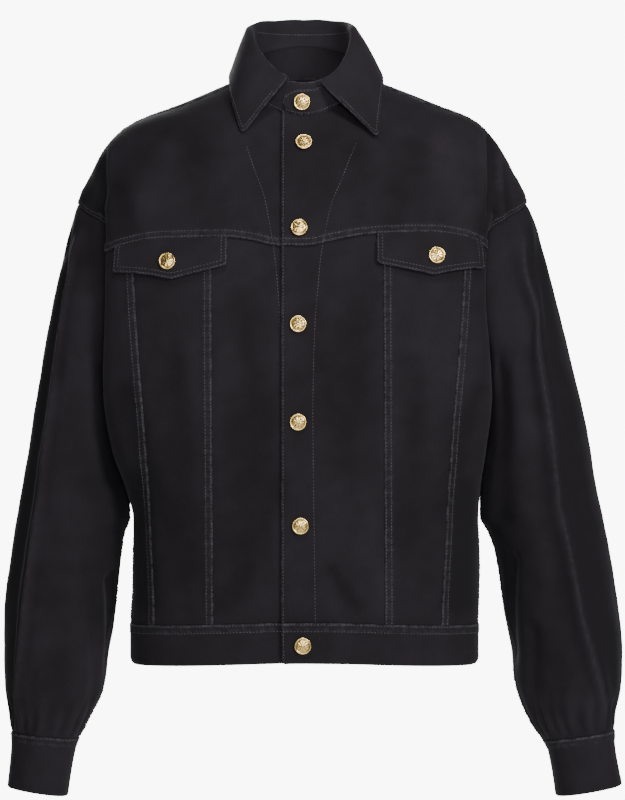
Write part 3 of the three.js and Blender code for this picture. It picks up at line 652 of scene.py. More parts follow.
# Drape: how far the cloth of the body stands out at a point of its surface.
def fold_depths(folds, a, b, per_b=1.0):
    """The sum of the folds' depths at places, each given by its two arguments."""
    total = np.zeros(np.broadcast(a, b).shape)
    names = list(folds)
    for a0, b0, a1, b1, width, depth in zip(*(folds[name] for name in names)):
        along_a, along_b = a1 - a0, (b1 - b0) * per_b
        to_a, to_b = a - a0, (b - b0) * per_b
        share = np.clip((to_a * along_a + to_b * along_b) / (along_a**2 + along_b**2), 0, 1)
        off = np.hypot(to_a - share * along_a, to_b - share * along_b)
        total += depth * bell(off, width * (0.75 + 0.5 * share))
    return total


def swell(point, size, seed):
    """Gentle uneven waves of about a size, from -1 to 1."""
    waves = np.random.default_rng(seed)
    total = 0
    for _ in range(5):
        direction = unit(waves.normal(size=3) * (1, 1, 0.55))
        pitch = size * waves.uniform(0.7, 1.5)
        total = total + np.sin(point @ direction * 2 * np.pi / pitch + waves.uniform(0, 6.3))
    return total / 3.2


def body_drape(point, normal):
    x, z = point[..., 0], point[..., 2]
    facing = -normal[..., 1]
    front = fold_depths(BODY_FOLDS["front"], x, z) * smooth(facing, 0.05, 0.5)
    back = fold_depths(BODY_FOLDS["back"], x, z) * smooth(-facing, 0.05, 0.5)
    waves = 0.8 * swell(point, 95, 3) + 0.25 * swell(point, 34, 4)
    held = smooth(z, HEM_SEAM_Z, HEM_SEAM_Z + 30) * (1 - smooth(z, -60, 0))
    return (waves - front - back) * held


# Cloth shells. A shell stands on a surface that is a function of two arguments, and its patch
# turns shares u across and v up into those arguments.
def spread(lengths, step):
    """Distances along strips of some lengths, close together beside their ends."""
    lengths = np.atleast_1d(lengths)[:, None]
    inside = lengths - 2 * NEAR_SEAM[-1]
    count = max(2, round(float(inside.mean()) / step))
    between = NEAR_SEAM[-1] + inside * shares(count)[1:-1]
    return np.hstack([NEAR_SEAM + 0 * lengths, between, lengths - NEAR_SEAM[::-1]])


def runs_along(points, axis):
    """Distance of each point of a grid from its first row or column."""
    steps = length_of(np.diff(points, axis=axis))
    first = np.zeros_like(np.take(points[..., 0], [0], axis=axis))
    return np.concatenate([first, np.cumsum(steps, axis=axis)], axis=axis)


def puckers(along, phase):
    """The uneven ripples that stitching draws into cloth, from -1 to 1."""
    drift = 2.2 * np.sin(along / 37 + phase) + 1.3 * np.sin(along / 91 + 2.7 * phase)
    turn = 2 * np.pi * along / FELL["pitch"]
    return 0.7 * np.sin(turn + drift) + 0.3 * np.sin(0.7 * turn - drift + phase)


def beside_edge(distance, along, lap, rise, phase):
    """Height, and wear with a painted highlight on the pucker crests, of the cloth beside an edge. lap is
    1 where the edge is folded over its neighbour and stitched down, 0 where it runs beneath it, and -1
    where it is a free edge."""
    over = np.clip(lap, 0, 1)
    under = 1 - np.abs(lap)
    free = np.clip(-lap, 0, 1)
    strip = 1 - smooth(distance, FELL["width"] - 1, FELL["width"] + 3)
    ripple = puckers(along, phase)
    height = over * strip * (rise + FELL["pucker"] * ripple)
    height += under * 0.7 * FELL["pucker"] * ripple * (1 - smooth(distance, 2, 13))
    height -= under * rise * (1 - smooth(distance, 1, 6))
    height += free * (rise + FELL["pucker"] * ripple) * (1 - smooth(distance, 4, 14))
    height -= (1 - under) * EDGE_DROP * (1 - np.clip(distance / 1.2, 0, 1)) ** 2
    rows = bell(distance - TWIN[0], 0.9) + bell(distance - TWIN[1], 1.1)
    wear_and_highlight = (1 - under) * bell(distance, 0.9) + over * (0.3 * rows)
    # The crests of a felled strip's puckers are lighter: partly roping wear, partly a painted highlight.
    wear_and_highlight += over * strip * 0.3 * np.clip(ripple, 0, 1)
    return height, wear_and_highlight


def make_object(name, points, faces, material, attributes=(), uv=None):
    mesh = bpy.data.meshes.new(name)
    mesh.from_pydata((points * MM).tolist(), [], faces.tolist())
    mesh.materials.append(material)
    mesh.polygons.foreach_set("use_smooth", [True] * len(mesh.polygons))
    for label, values in attributes:
        layer = mesh.attributes.new(label, "FLOAT", "POINT")
        layer.data.foreach_set("value", np.asarray(values, np.float32).ravel())
    if uv is not None:
        corners = np.zeros(len(mesh.loops), np.int32)
        mesh.loops.foreach_get("vertex_index", corners)
        mesh.uv_layers.new(name="cloth").data.foreach_set("uv", uv[corners].ravel())
    thing = bpy.data.objects.new(name, mesh)
    bpy.context.collection.objects.link(thing)
    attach(thing, "root")
    return thing


def grid_faces(rows, columns, offset=0, turned=False):
    index = offset + np.arange(rows * columns).reshape(rows, columns)
    corners = [index[:-1, :-1], index[:-1, 1:], index[1:, 1:], index[1:, :-1]]
    return np.stack(corners[::-1] if turned else corners, axis=-1).reshape(-1, 4)


def rim_faces(rows, columns):
    """Faces that join the rims of two grids of the same size, one after the other."""
    index = np.arange(rows * columns).reshape(rows, columns)
    loop = np.concatenate([index[0, :-1], index[:-1, -1], index[-1, :0:-1], index[:0:-1, 0]])
    after = np.roll(loop, -1)
    below = rows * columns
    return np.stack([after, loop, loop + below, after + below], axis=-1)


def patch_grid(surface, patch, step):
    """The arguments of a patch's grid, with even distances between its columns."""
    column = surface(*patch(0.5, shares(80)))
    height = length_of(np.diff(column, axis=0)).sum()
    v = (spread(height, step["along"]) / height).T
    fine = shares(160)[None, :]
    lengths = runs_along(surface(*patch(fine, v)), 1)
    wanted = spread(lengths[:, -1], step["across"])
    u = np.array([np.interp(row, line, fine[0]) for row, line in zip(wanted, lengths)])
    return patch(u, v)


def round_corners(base, distance, edges, corner):
    """Rounds the corners between free edges, within the cloth's own surface."""
    across, up = (unit(np.gradient(base, axis=axis)) for axis in (1, 0))
    moved = base.copy()
    for side, inwards in (("from", across), ("to", -across)):
        for end, upwards in (("bottom", up), ("top", -up)):
            if edges[side][0] == -1 and edges[end][0] == -1:
                p = np.clip(corner - distance[side], 0, corner)
                q = np.clip(corner - distance[end], 0, corner)
                kept = np.maximum(p, q) / np.maximum(np.hypot(p, q), 1e-9)
                lost = np.where((p > 0) & (q > 0), 1 - kept, 0)
                moved += inwards * (p * lost)[..., None] + upwards * (q * lost)[..., None]
    return moved


def tuck_edge(grid, out, edge, weight):
    """Lets the outermost row of a grid go on beneath the piece that is sewn over it."""
    turned = edge in ("bottom", "top")
    rows, normals = (x.swapaxes(0, 1) if turned else x for x in (grid, out))
    here, inside = (0, 1) if edge in ("from", "bottom") else (-1, -2)
    outwards = unit(rows[:, here] - rows[:, inside])
    weight = np.broadcast_to(weight, rows.shape[:1])[:, None]
    rows[:, here] += weight * (TUCK["reach"] * outwards - TUCK["drop"] * normals[:, here])


def make_shell(name, surface, normal, patch, thick, edges, lift=None, drape=None, step=STEP):
    """A piece of cloth that stands for the node of its name. edges gives each edge's lap, and how
    far it rises, or where another piece is sewn over it, how deep the cloth lies beside it. An edge
    without a lap is left plain."""
    a, b = (np.asarray(x, float) for x in np.broadcast_arrays(*patch_grid(surface, patch, step)))
    base = surface(a, b)
    out = normal(a, b)
    height = np.zeros(a.shape) if lift is None else lift(a, b)
    folds, wear_and_highlight = np.zeros((2, *a.shape)) if drape is None else drape(a, b, base, out)
    height = height + folds
    across, up = runs_along(base, 1), runs_along(base, 0)
    distance = {
        "from": across, "to": across[:, -1:] - across, "bottom": up, "top": up[-1:] - up,
    }
    share_up = up / up[-1:]
    share_across = across / across[:, -1:]
    relief = np.zeros(a.shape)
    phase = 0.37 * sum(map(ord, name)) % 6.3
    under = {}
    for edge, (lap, rise) in edges.items():
        if lap is None:
            continue
        upright = edge in ("from", "to")
        weight = lap(share_up if upright else share_across) if callable(lap) else lap
        raised, worn_and_highlit = beside_edge(distance[edge], up if upright else across, weight, rise, phase)
        relief = relief + raised
        wear_and_highlight = np.maximum(wear_and_highlight, worn_and_highlit)
        along_edge = {"from": (..., 0), "to": (..., -1), "bottom": (0,), "top": (-1,)}[edge]
        under[edge] = 1 - np.abs(np.broadcast_to(weight, a.shape)[along_edge])
    corner = COLLAR_TIP if name == "collar_fall" else CORNER
    shaped = round_corners(base, distance, edges, corner)
    face = shaped + out * (height + relief)[..., None]
    inner = shaped + out * (height - thick)[..., None]
    for edge, weight in under.items():
        tuck_edge(face, out, edge, weight)
        tuck_edge(inner, out, edge, weight)
    rows, columns = a.shape
    count = rows * columns
    faces = np.vstack([
        grid_faces(rows, columns),
        grid_faces(rows, columns, count, turned=True),
        rim_faces(rows, columns),
    ])
    points = np.vstack([face.reshape(-1, 3), inner.reshape(-1, 3)])
    if np.sum(np.cross(face[0, 1] - face[0, 0], face[1, 0] - face[0, 0]) * out[0, 0]) < 0:
        faces = faces[:, ::-1]
    uv = np.tile(np.stack([across, up], axis=-1).reshape(-1, 2) * MM, (2, 1))
    worn_and_highlit = np.concatenate([wear_and_highlight.ravel(), 0.3 * wear_and_highlight.ravel()])
    # Fold height as a colour mark: ridges lighter from wash fading, and hollows and the flat cloth outside
    # the sleeve creases darker as painted shade.
    fade_and_painted_shade = np.tile(np.tanh(folds / 1.6).ravel(), 2)
    marks = [("wear_and_highlight", worn_and_highlit), ("fade_and_painted_shade", fade_and_painted_shade)]
    thing = make_object(name + "_cloth", points, faces, denim, marks, uv)
    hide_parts(name)
    shells[name] = {"face": face, "out": out, "distance": distance}


shells = {}


# Materials.
def new_material(name):
    material = bpy.data.materials.new(name)
    material.use_nodes = True
    material.node_tree.nodes.clear()
    return material


def node(material, kind, settings=None, inputs=None):
    """A node with its settings, and its inputs, each a value or the output of another node."""
    made = material.node_tree.nodes.new(kind)
    for key, value in (settings or {}).items():
        setattr(made, key, value)
    for key, value in (inputs or {}).items():
        if isinstance(value, bpy.types.NodeSocket):
            material.node_tree.links.new(value, made.inputs[key])
        else:
            made.inputs[key].default_value = value
    return made


def noise(material, vector, scale, detail=2.0):
    inputs = {"Vector": vector, "Scale": scale, "Detail": detail}
    return node(material, "ShaderNodeTexNoise", None, inputs).outputs["Fac"]


def remap(material, value, low, high, to_low, to_high):
    inputs = {"Value": value, "From Min": low, "From Max": high, "To Min": to_low, "To Max": to_high}
    return node(material, "ShaderNodeMapRange", None, inputs).outputs["Result"]


def maths(material, operation, first, second):
    made = node(material, "ShaderNodeMath", {"operation": operation}, {0: first, 1: second})
    return made.outputs["Value"]


def mixed(material, share, first, second, blend="MIX"):
    inputs = {0: share, 6: first, 7: second}
    settings = {"data_type": "RGBA", "blend_type": blend}
    return node(material, "ShaderNodeMix", settings, inputs).outputs[2]


def bumped(material, height, strength, distance, before=None):
    inputs = {"Height": height, "Strength": strength, "Distance": distance}
    if before is not None:
        inputs["Normal"] = before
    return node(material, "ShaderNodeBump", None, inputs).outputs["Normal"]


def stretched(material, vector, scale):
    return node(material, "ShaderNodeMapping", None, {"Vector": vector, "Scale": scale}).outputs[0]


def finish_material(material, **inputs):
    inputs = {key.replace("_", " "): value for key, value in inputs.items()}
    shader = node(material, "ShaderNodeBsdfPrincipled", None, inputs)
    node(material, "ShaderNodeOutputMaterial", None, {"Surface": shader.outputs["BSDF"]})
    return material


def make_denim():
    """Washed black denim: warp streaks, a fine twill, cloudy fading and worn edges, with painted shade in
    the folds' hollows and painted highlights along crease and pucker ridges.
    """
    m = new_material("washed_denim")
    place = node(m, "ShaderNodeTexCoord").outputs["Object"]
    cloth = node(m, "ShaderNodeUVMap", {"uv_map": "cloth"}).outputs["UV"]
    wear_and_highlight = node(m, "ShaderNodeAttribute", {"attribute_name": "wear_and_highlight"}).outputs["Fac"]
    fade_and_painted_shade = node(m, "ShaderNodeAttribute", {"attribute_name": "fade_and_painted_shade"}).outputs["Fac"]
    clouds = noise(m, place, 11, 5)
    blotches = noise(m, place, 46, 3)
    streaks = noise(m, stretched(m, cloth, (900, 120, 1)), 1, 3)
    grain = noise(m, stretched(m, cloth, (1500, 700, 1)), 1, 2)
    twill_place = stretched(m, cloth, (1, 0.6, 1))
    twill = node(
        m, "ShaderNodeTexWave", {"bands_direction": "DIAGONAL"},
        {"Vector": twill_place, "Scale": 673, "Distortion": 2.2, "Detail": 1},
    ).outputs["Fac"]
    cloudy = maths(
        m, "ADD", remap(m, clouds, 0.3, 0.7, 0.13, 0.39), remap(m, blotches, 0.3, 0.7, 0.14, 0.38)
    )
    # Random cloudy mottling plus the fold mark: ridges lighter from fading, hollows and crease planes
    # darker as painted shade; the two colours below are its dark and light ends.
    fade = maths(m, "ADD", cloudy, remap(m, fade_and_painted_shade, -1, 1, -0.6, 0.3))
    ground = mixed(m, fade, (0.0060, 0.0046, 0.0064, 1), (0.0200, 0.0160, 0.0214, 1))
    yarn = maths(
        m, "MULTIPLY", remap(m, streaks, 0.3, 0.7, 0.9, 1.1), remap(m, grain, 0.2, 0.8, 0.72, 1.28)
    )
    light_yarn = maths(m, "MULTIPLY", yarn, remap(m, twill, 0, 1, 0.93, 1.06))
    lit = mixed(m, 1.0, ground, light_yarn, "MULTIPLY")
    # Edges and seams are lighter from real wear; crease ridges and pucker crests are also lighter as
    # painted highlights. The pale grey below is their colour.
    rubbed_and_highlit = maths(m, "MULTIPLY", wear_and_highlight, remap(m, noise(m, place, 210, 4), 0.38, 0.66, 0.0, 0.9))
    colour = mixed(m, rubbed_and_highlit, lit, (0.058, 0.055, 0.064, 1))
    hollows = bumped(m, noise(m, place, 75, 4), 0.35, 0.0011)
    turned = {"Vector": cloth, "Rotation": (0, 0, 1.1), "Scale": (2100, 420, 1)}
    lines = node(m, "ShaderNodeMapping", None, turned).outputs[0]
    weave = maths(m, "ADD", noise(m, lines, 1, 1), grain)
    relief = bumped(m, weave, 0.6, 0.0002, hollows)
    return finish_material(
        m, Base_Color=colour, Roughness=0.88, Normal=relief, Specular_IOR_Level=0.25,
        Sheen_Weight=0.05, Sheen_Roughness=0.4, Sheen_Tint=(0.75, 0.72, 0.8, 1),
    )


def make_thread():
    m = new_material("topstitch_thread")
    place = node(m, "ShaderNodeTexCoord").outputs["Object"]
    patches = remap(m, noise(m, place, 95, 3), 0.32, 0.62, 0, 1)
    colour = mixed(m, patches, (0.016, 0.015, 0.018, 1), (0.068, 0.064, 0.075, 1))
    twist = bumped(m, noise(m, place, 2600, 1), 0.5, 0.0002)
    return finish_material(
        m, Base_Color=colour, Roughness=0.7, Normal=twist, Sheen_Weight=0.05, Sheen_Roughness=0.5,
    )


def make_gold():
    m = new_material("polished_gold")
    place = node(m, "ShaderNodeTexCoord").outputs["Object"]
    hollow = node(m, "ShaderNodeAttribute", {"attribute_name": "hollow"}).outputs["Fac"]
    scratches = noise(m, place, 900, 4)
    aged = mixed(m, hollow, (1.0, 0.72, 0.26, 1), (0.34, 0.16, 0.018, 1))
    return finish_material(
        m, Base_Color=aged, Metallic=1.0, Roughness=remap(m, scratches, 0.3, 0.7, 0.16, 0.30),
        Normal=bumped(m, scratches, 0.12, 0.0001),
    )


def make_floor_material():
    m = new_material("pale_floor")
    place = node(m, "ShaderNodeTexCoord").outputs["Object"]
    colour = mixed(m, noise(m, place, 0.6, 1), (0.84, 0.84, 0.84, 1), (0.86, 0.86, 0.86, 1))
    return finish_material(m, Base_Color=colour, Roughness=0.9)


denim = make_denim()
thread = make_thread()
gold = make_gold()


# Panels of the body.
def drape_on_body(a, b, base, out):
    return body_drape(base, out), np.zeros(a.shape)


def panel_patch(field, start, end):
    half_gap = 0.06  # degrees

    def patch(u, v):
        first, last = start(v), end(v)
        turned = np.sign(last - first) * half_gap
        angle = lerp(first + turned, last - turned, u)
        return angle, field_run(field, v, angle) + SEAM_GAP / 2 * (1 - 2 * v)

    return patch


def make_panel(name, field, start, end, edges, lift=None):
    patch = panel_patch(field, start, end)
    make_shell(name, body_point, body_normal, patch, CLOTH, edges, lift, drape_on_body)


ARM_START = LOWER_ROWS["below"] / sum(LOWER_ROWS.values())
SHOULDER_START = UPPER_ROWS["armhole"] / sum(UPPER_ROWS.values())


def above_underarm(share):
    return smooth(share, ARM_START - 0.01, ARM_START + 0.01)


def below_shoulder(share):
    return 1 - smooth(share, SHOULDER_START - 0.01, SHOULDER_START + 0.01)


def hollow_beside(x, edge_x):
    """How deep the lower cloth lies beside the edge of a front that laps over it."""
    return PLACKET["hollow"] * bell(x - edge_x + PLACKET["beside"], PLACKET["spread"])


def front_lift(side):
    def lift(angle, run):
        if side == "left":
            return overlap_lift(angle, run, CLOTH)
        return -hollow_beside(body_point(angle, run)[..., 0], FRONT_EDGE_X)

    return lift


def under_flap(share):
    """The lap of a felled seam whose top end is flattened beneath the flap."""
    return 1 - 0.7 * smooth(share, 0.94, 0.98)


def make_front(side):
    sign = SIDES[side]
    is_top = side == "left"
    edge_x = FRONT_EDGE_X if is_top else UNDER_EDGE_X
    lift = front_lift(side)
    free = (-1, PLACKET["rise"] if is_top else 0)
    lower, upper = fields["front_lower"], fields["front_upper"]
    shift = FELL["width"] / 2
    lines = [seam_line(lower, edge_x, edge_x)]
    for seam in ("inner", "outer"):
        hem_x, yoke_x = (sign * (x - shift) for x in SEAMS[side][seam])
        lines.append(seam_line(lower, hem_x, yoke_x))
    lines.append(edge_angle(lower, side))
    names = [f"front_centre_{side}", f"pocket_panel_{side}", f"front_side_{side}"]
    for k, name in enumerate(names):
        edges = {
            "from": (under_flap, FELL["rise"]) if k else free,
            "to": (1, FELL["rise"]) if k == 2 else (0, HOLLOW),
            "bottom": (0, HOLLOW),
            "top": (0, 2 * HOLLOW),
        }
        make_panel(name, lower, lines[k], lines[k + 1], edges, lift)
    edges = {
        "from": free,
        "to": (below_shoulder, FELL["rise"]),
        "bottom": (1, YOKE_RISE),
        "top": (0, 0),
    }
    front_edge = seam_line(upper, edge_x, edge_x)
    make_panel(f"front_yoke_{side}", upper, front_edge, edge_angle(upper, side), edges, lift)


def make_back():
    lower, upper = fields["back_lower"], fields["back_upper"]
    shift = FELL["width"] / 2
    seams = {}
    for side, sign in SIDES.items():
        hem_x, yoke_x = (sign * (x - shift) for x in SEAMS[side]["back"])
        seams[side] = seam_line(lower, hem_x, yoke_x)
    felled, plain = (1, FELL["rise"]), (0, HOLLOW)
    arm = (above_underarm, FELL["rise"])
    rest = {"bottom": plain, "top": plain}
    left, right = edge_angle(lower, "left"), edge_angle(lower, "right")
    make_panel("back_side_left", lower, left, seams["left"], {"from": arm, "to": felled, **rest})
    make_panel("back_centre", lower, seams["left"], seams["right"], {"from": plain, "to": plain, **rest})
    make_panel("back_side_right", lower, seams["right"], right, {"from": felled, "to": arm, **rest})
    edges = {"from": felled, "to": felled, "bottom": (1, YOKE_RISE), "top": plain}
    make_panel("back_yoke", upper, edge_angle(upper, "left"), edge_angle(upper, "right"), edges)


def make_hem_band():
    first = angle_at(FRONT_EDGE_X, HEM_RUN)
    last = 360 + angle_at(UNDER_EDGE_X, HEM_RUN)

    def lift(a, b):
        x = body_point(a, b)[..., 0]
        lapped = np.where(a < 180, overlap_lift(a, b, BAND_CLOTH), -hollow_beside(x, FRONT_EDGE_X))
        turn = np.degrees(np.arccos(np.abs(np.cos(np.radians(a)))))
        sharp = np.clip(1 - b / HEM_CURL["height"], 0, 1)
        depth = lerp(HEM_CURL["elsewhere"], HEM_CURL["side"], bell(turn - 90, HEM_CURL["spread"]))
        return BAND_LIFT + lapped - depth * (1 - np.sqrt(1 - sharp**2))

    def patch(u, v):
        return lerp(first, last, u), lerp(0, HEM_RUN - SEAM_GAP / 2, v)

    edges = {"from": (-1, PLACKET["rise"]), "to": (-1, 0), "bottom": (-1, 0), "top": (1, 0.3)}
    make_shell("hem_band", body_point, body_normal, patch, BAND_CLOTH, edges, lift)


# Sleeves: a turn, 0 outside, 90 in front and 180 under the arm, and a run from the armhole.
def sleeve_ring(ring, turn):
    """The points of a ring and the directions out from its middle."""
    middle = np.stack(
        [(ring["out_x"] + ring["in_x"]) / 2, -ring["ahead"], (ring["out_z"] + ring["in_z"]) / 2], axis=-1
    )
    across = rounded(np.cos(np.radians(turn)), SLEEVE_SQUARE) / 2
    ahead = rounded(np.sin(np.radians(turn)), SLEEVE_SQUARE)
    depth = np.where(ahead > 0, ring["front"], ring["back"])
    offset = np.stack(
        [(ring["out_x"] - ring["in_x"]) * across, -depth * ahead, (ring["out_z"] - ring["in_z"]) * across],
        axis=-1,
    )
    return middle + offset, unit(offset)


def sleeve_of(side):
    """The sleeve's surface, its normal, and the runs of its cuff's two edges."""
    columns = SLEEVES[side]
    rows = with_run(columns, columns["out_x"], columns["out_z"])
    ring_at = curves(rows, "run")
    edge_at = curves(PRESSED_EDGE[side], "run")
    turns = lerp(0, 360, shares(720))
    first = {name: np.full(turns.shape, values[0]) for name, values in columns.items()}
    moved = body_point(*armhole_place(side, turns)) - sleeve_ring(first, turns)[0]

    def surface(turn, run):
        turn, run = np.broadcast_arrays(turn, run)
        point, outwards = sleeve_ring(ring_at(run), turn)
        around = turn % 360
        shift = np.stack([np.interp(around, turns, moved[:, k]) for k in range(3)], axis=-1)
        grown = smooth(run, 0, SLEEVE_BLEND)
        edge = edge_at(run)
        raised = edge["height"] * bell(around - edge["turn"], PRESSED_SPREAD)
        raised = raised - fold_depths(SLEEVE_FOLDS[side], run, around, 1.1)
        return point + shift * (1 - grown)[..., None] + outwards * (raised * grown)[..., None]

    return {
        "surface": surface,
        "normal": normal_to(surface, SIDES[side]),
        "cuff_run": rows["run"][-2] - CUFF_RAISE,
        "button_run": (rows["run"][-2] + rows["run"][-1]) / 2,
        "end_run": rows["run"][-1],
    }


def crease_relief(side, off):
    """The ridge of a pressed crease at distances from it, and its relief with what lies beside it."""
    outside, inside = CREASE_TROUGHS[side]
    ridge = np.exp(-np.abs(off) / CREASE["sharp"])
    crease = CREASE["height"] * ridge - outside * bell(off + CREASE["outside"], CREASE["spread"])
    crease = crease - inside * bell(off - CREASE["inside"], CREASE["spread"])
    plane = CREASE_PLANE[side] * bell(off + CREASE_PLANE["middle"], CREASE_PLANE["spread"])
    return ridge, crease - plane


def gathers(side, turn, above_cuff):
    """The uneven gathers of a sleeve's end, which fade out up the sleeve and into the seam."""
    along = SLEEVE_ARC * (turn % 360)
    wander = 1.9 * np.sin(along / 29 + SIDES[side]) + 1.2 * np.sin(along / 71)
    gathered = np.sin(2 * np.pi * along / GATHER["pitch"] + wander)
    fade = 1 - smooth(above_cuff, GATHER["seam"], GATHER["reach"])
    return GATHER["depth"] * gathered * fade * smooth(above_cuff, 0, GATHER["seam"])


def make_sleeve(side):
    sleeve = sleeves[side]
    cuff_run = sleeve["cuff_run"]
    gap = math.degrees(SEAM_GAP / 2 / ARMHOLE["half_depth"])

    edge_at = curves(PRESSED_EDGE[side], "run")

    def drape(a, b, base, out):
        waves = 0.9 * swell(base, 80, 11) + 0.3 * swell(base, 30, 12)
        held = smooth(b, 4, 40) * (1 - smooth(b, cuff_run - 30, cuff_run))
        edge = edge_at(b)
        ridge, crease = crease_relief(side, SLEEVE_ARC * (a % 360 - edge["turn"]))
        pressed = np.clip(edge["height"] / 3, 0, 1) * held
        height = waves * held + crease * pressed + gathers(side, a, cuff_run - b)
        # The crease ridge is lighter: partly real crease wear, partly a painted highlight along the fold.
        return height, CREASE["wear_and_highlight"] * ridge * pressed

    def patch_between(start, end):
        def patch(u, v):
            return lerp(start + gap, end - gap, u), lerp(SEAM_GAP, cuff_run - SEAM_GAP / 2, v)

        return patch

    felled, plain = (1, FELL["rise"]), (0, HOLLOW)
    pieces = [
        (f"sleeve_upper_{side}", BACK_SEAM_TURN - 360, UNDERARM_TURN, felled),
        (f"sleeve_under_{side}", UNDERARM_TURN, BACK_SEAM_TURN, plain),
    ]
    for name, start, end, seam in pieces:
        edges = {"from": seam, "to": seam, "bottom": plain, "top": plain}
        patch = patch_between(start, end)
        surface, normal = sleeve["surface"], sleeve["normal"]
        make_shell(name, surface, normal, patch, CLOTH, edges, None, drape, SLEEVE_STEP)


def cuff_lift(turn, run=None):
    """The lift of a cuff's lap, the same at each run."""
    fade = smooth(turn, CUFF_LAP["under"] - 360, CUFF_LAP["flat_from"] - 360)
    return BAND_LIFT + (BAND_CLOTH + SEAM_GAP) * (1 - fade)


def make_cuff(side):
    sleeve = sleeves[side]

    def patch(u, v):
        turn = lerp(CUFF_LAP["over"] - 360, CUFF_LAP["under"], u)
        return turn, lerp(sleeve["cuff_run"] + SEAM_GAP / 2, sleeve["end_run"], v)

    edges = {"from": (-1, 0), "to": (-1, 0), "bottom": (1, 0.3), "top": (-1, 0)}
    surface, normal = sleeve["surface"], sleeve["normal"]
    make_shell(f"cuff_{side}", surface, normal, patch, BAND_CLOTH, edges, cuff_lift)


# The collar: a stand with round ends, and a fall that turns over it.
NECK_RING = {name: float(value) for name, value in body_at(NECK_RUN).items()}
STAND_HEIGHT = STAND_TOP["z"] - NECK_RING["z"]


def stand_point(angle, height):
    angle, height = np.broadcast_arrays(angle, height)
    ring = {name: lerp(NECK_RING[name], top, height / STAND_HEIGHT) for name, top in STAND_TOP.items()}
    return ring_point(angle, ring)


stand_normal = normal_to(stand_point)


def stand_lift(angle, height=None):
    """The lift of the stand's lap, the same at each height."""
    x = stand_point(angle, STAND_HEIGHT)[..., 0]
    lift = DOUBLE_CLOTH + SEAM_GAP
    fade = smooth(x, STAND_END["under_x"] + 3, STAND_END["under_x"] + 40)
    return np.where(np.asarray(angle) > 90, 0, lift * (1 - fade))


def stand_angle(x, height=STAND_HEIGHT):
    return solve(x, -60, 60, lambda angle: stand_point(angle, height)[..., 0])


def make_stand():
    """The stand. Its under end peeks out above the end that is buttoned over it."""
    first, last = stand_angle(STAND_END["top_x"]), 360 + stand_angle(UNDER_PEAK["x"])
    sewn = 180 - FALL["left"]["turn"][-1], 180 + FALL["right"]["turn"][-1]

    def top_of(angle):
        x = stand_point(angle, STAND_HEIGHT)[..., 0]
        is_top = angle < 180
        end_x = np.where(is_top, STAND_END["top_x"], UNDER_PEAK["x"])
        radius = np.where(is_top, STAND_END["radius"], UNDER_PEAK["radius"])
        into = np.clip(radius - np.abs(x - end_x), 0, radius)
        loss = radius - np.sqrt(radius**2 - into**2)
        peak = UNDER_PEAK["height"] * smooth(angle, sewn[1] - UNDER_PEAK["over"] / 2, sewn[1] + 3)
        return STAND_HEIGHT + peak - np.where((angle > sewn[0]) & (angle < sewn[1]), 0, loss)

    def patch(u, v):
        angle = lerp(first, last, u)
        return angle, lerp(SEAM_GAP + stand_lift(angle), top_of(angle), v)

    edges = {"from": (-1, 0), "to": (-1, 0), "bottom": (-1, 0), "top": (-1, 0)}
    make_shell("collar_stand", stand_point, stand_normal, patch, DOUBLE_CLOTH, edges, stand_lift)


fall_at = {side: curves(columns, "turn") for side, columns in FALL.items()}


def fall_point(turn, way):
    """A turn from the middle of the back, and a way: up the inside, over the fold and down."""
    turn, way = np.broadcast_arrays(turn, way)
    row = {side: at(np.abs(turn)) for side, at in fall_at.items()}
    row = {name: np.where(turn < 0, row["right"][name], row["left"][name]) for name in row["left"]}
    angle = 180 - turn
    outwards = stand_normal(angle, STAND_HEIGHT) * (1, 1, 0)
    outwards = unit(outwards)
    base = stand_point(angle, STAND_HEIGHT)
    base = base + outwards * (stand_lift(angle) - DOUBLE_CLOTH / 2)[..., None]
    rise = np.clip(way, 0, 1) + np.minimum(way, 0)
    bend = np.pi * np.clip(way - 1, 0, 1)
    out = row["lean"] * rise + FOLD_RADIUS * (1 - np.cos(bend))
    base = base + outwards * out[..., None]
    base[..., 2] += FALL_GAP + row["rise"] * rise + FOLD_RADIUS * np.sin(bend)
    down = np.maximum(way - 2, 0)[..., None]
    edge = np.stack([row["x"] * np.where(turn < 0, -1, 1), row["y"], row["z"]], axis=-1)
    bulge = outwards * row["bulge"][..., None] * 4 * down * (1 - down)
    return base + (edge - base) * down + bulge


def make_fall():
    first, last = -FALL["right"]["turn"][-1], FALL["left"]["turn"][-1]

    def patch(u, v):
        return lerp(first, last, v), lerp(-0.12, 3, u) + 0 * v

    def lift(turn, way):
        return DOUBLE_CLOTH / 2 + 0.5 * (1 - smooth(way, 0, 0.15)) + 0 * turn

    edges = {"from": (None, 0), "to": (-1, 0.3), "bottom": (-1, 0.3), "top": (-1, 0.3)}
    normal = normal_to(fall_point, 1, 0.3, 0.04)
    make_shell("collar_fall", fall_point, normal, patch, DOUBLE_CLOTH, edges, lift)


# Chest pocket flaps, held in the yoke seam.
def flap_lift(angle, run):
    """How far a flap stands off the body: more towards its free edge."""
    below_seam = yoke_run(angle) - run
    down = np.clip(below_seam / FLAP_STANDOFF["depth"], 0, 1)
    standoff = lerp(FLAP_STANDOFF["top"], FLAP_STANDOFF["bottom"], np.sin(np.pi * down / 2))
    standoff = standoff + FLAP_STANDOFF["edge"] * down**3
    free = SEAM_GAP + DOUBLE_CLOTH + standoff
    return lerp(FLAP_SEAM["lift"], free, smooth(below_seam, 0, FLAP_SEAM["depth"]))


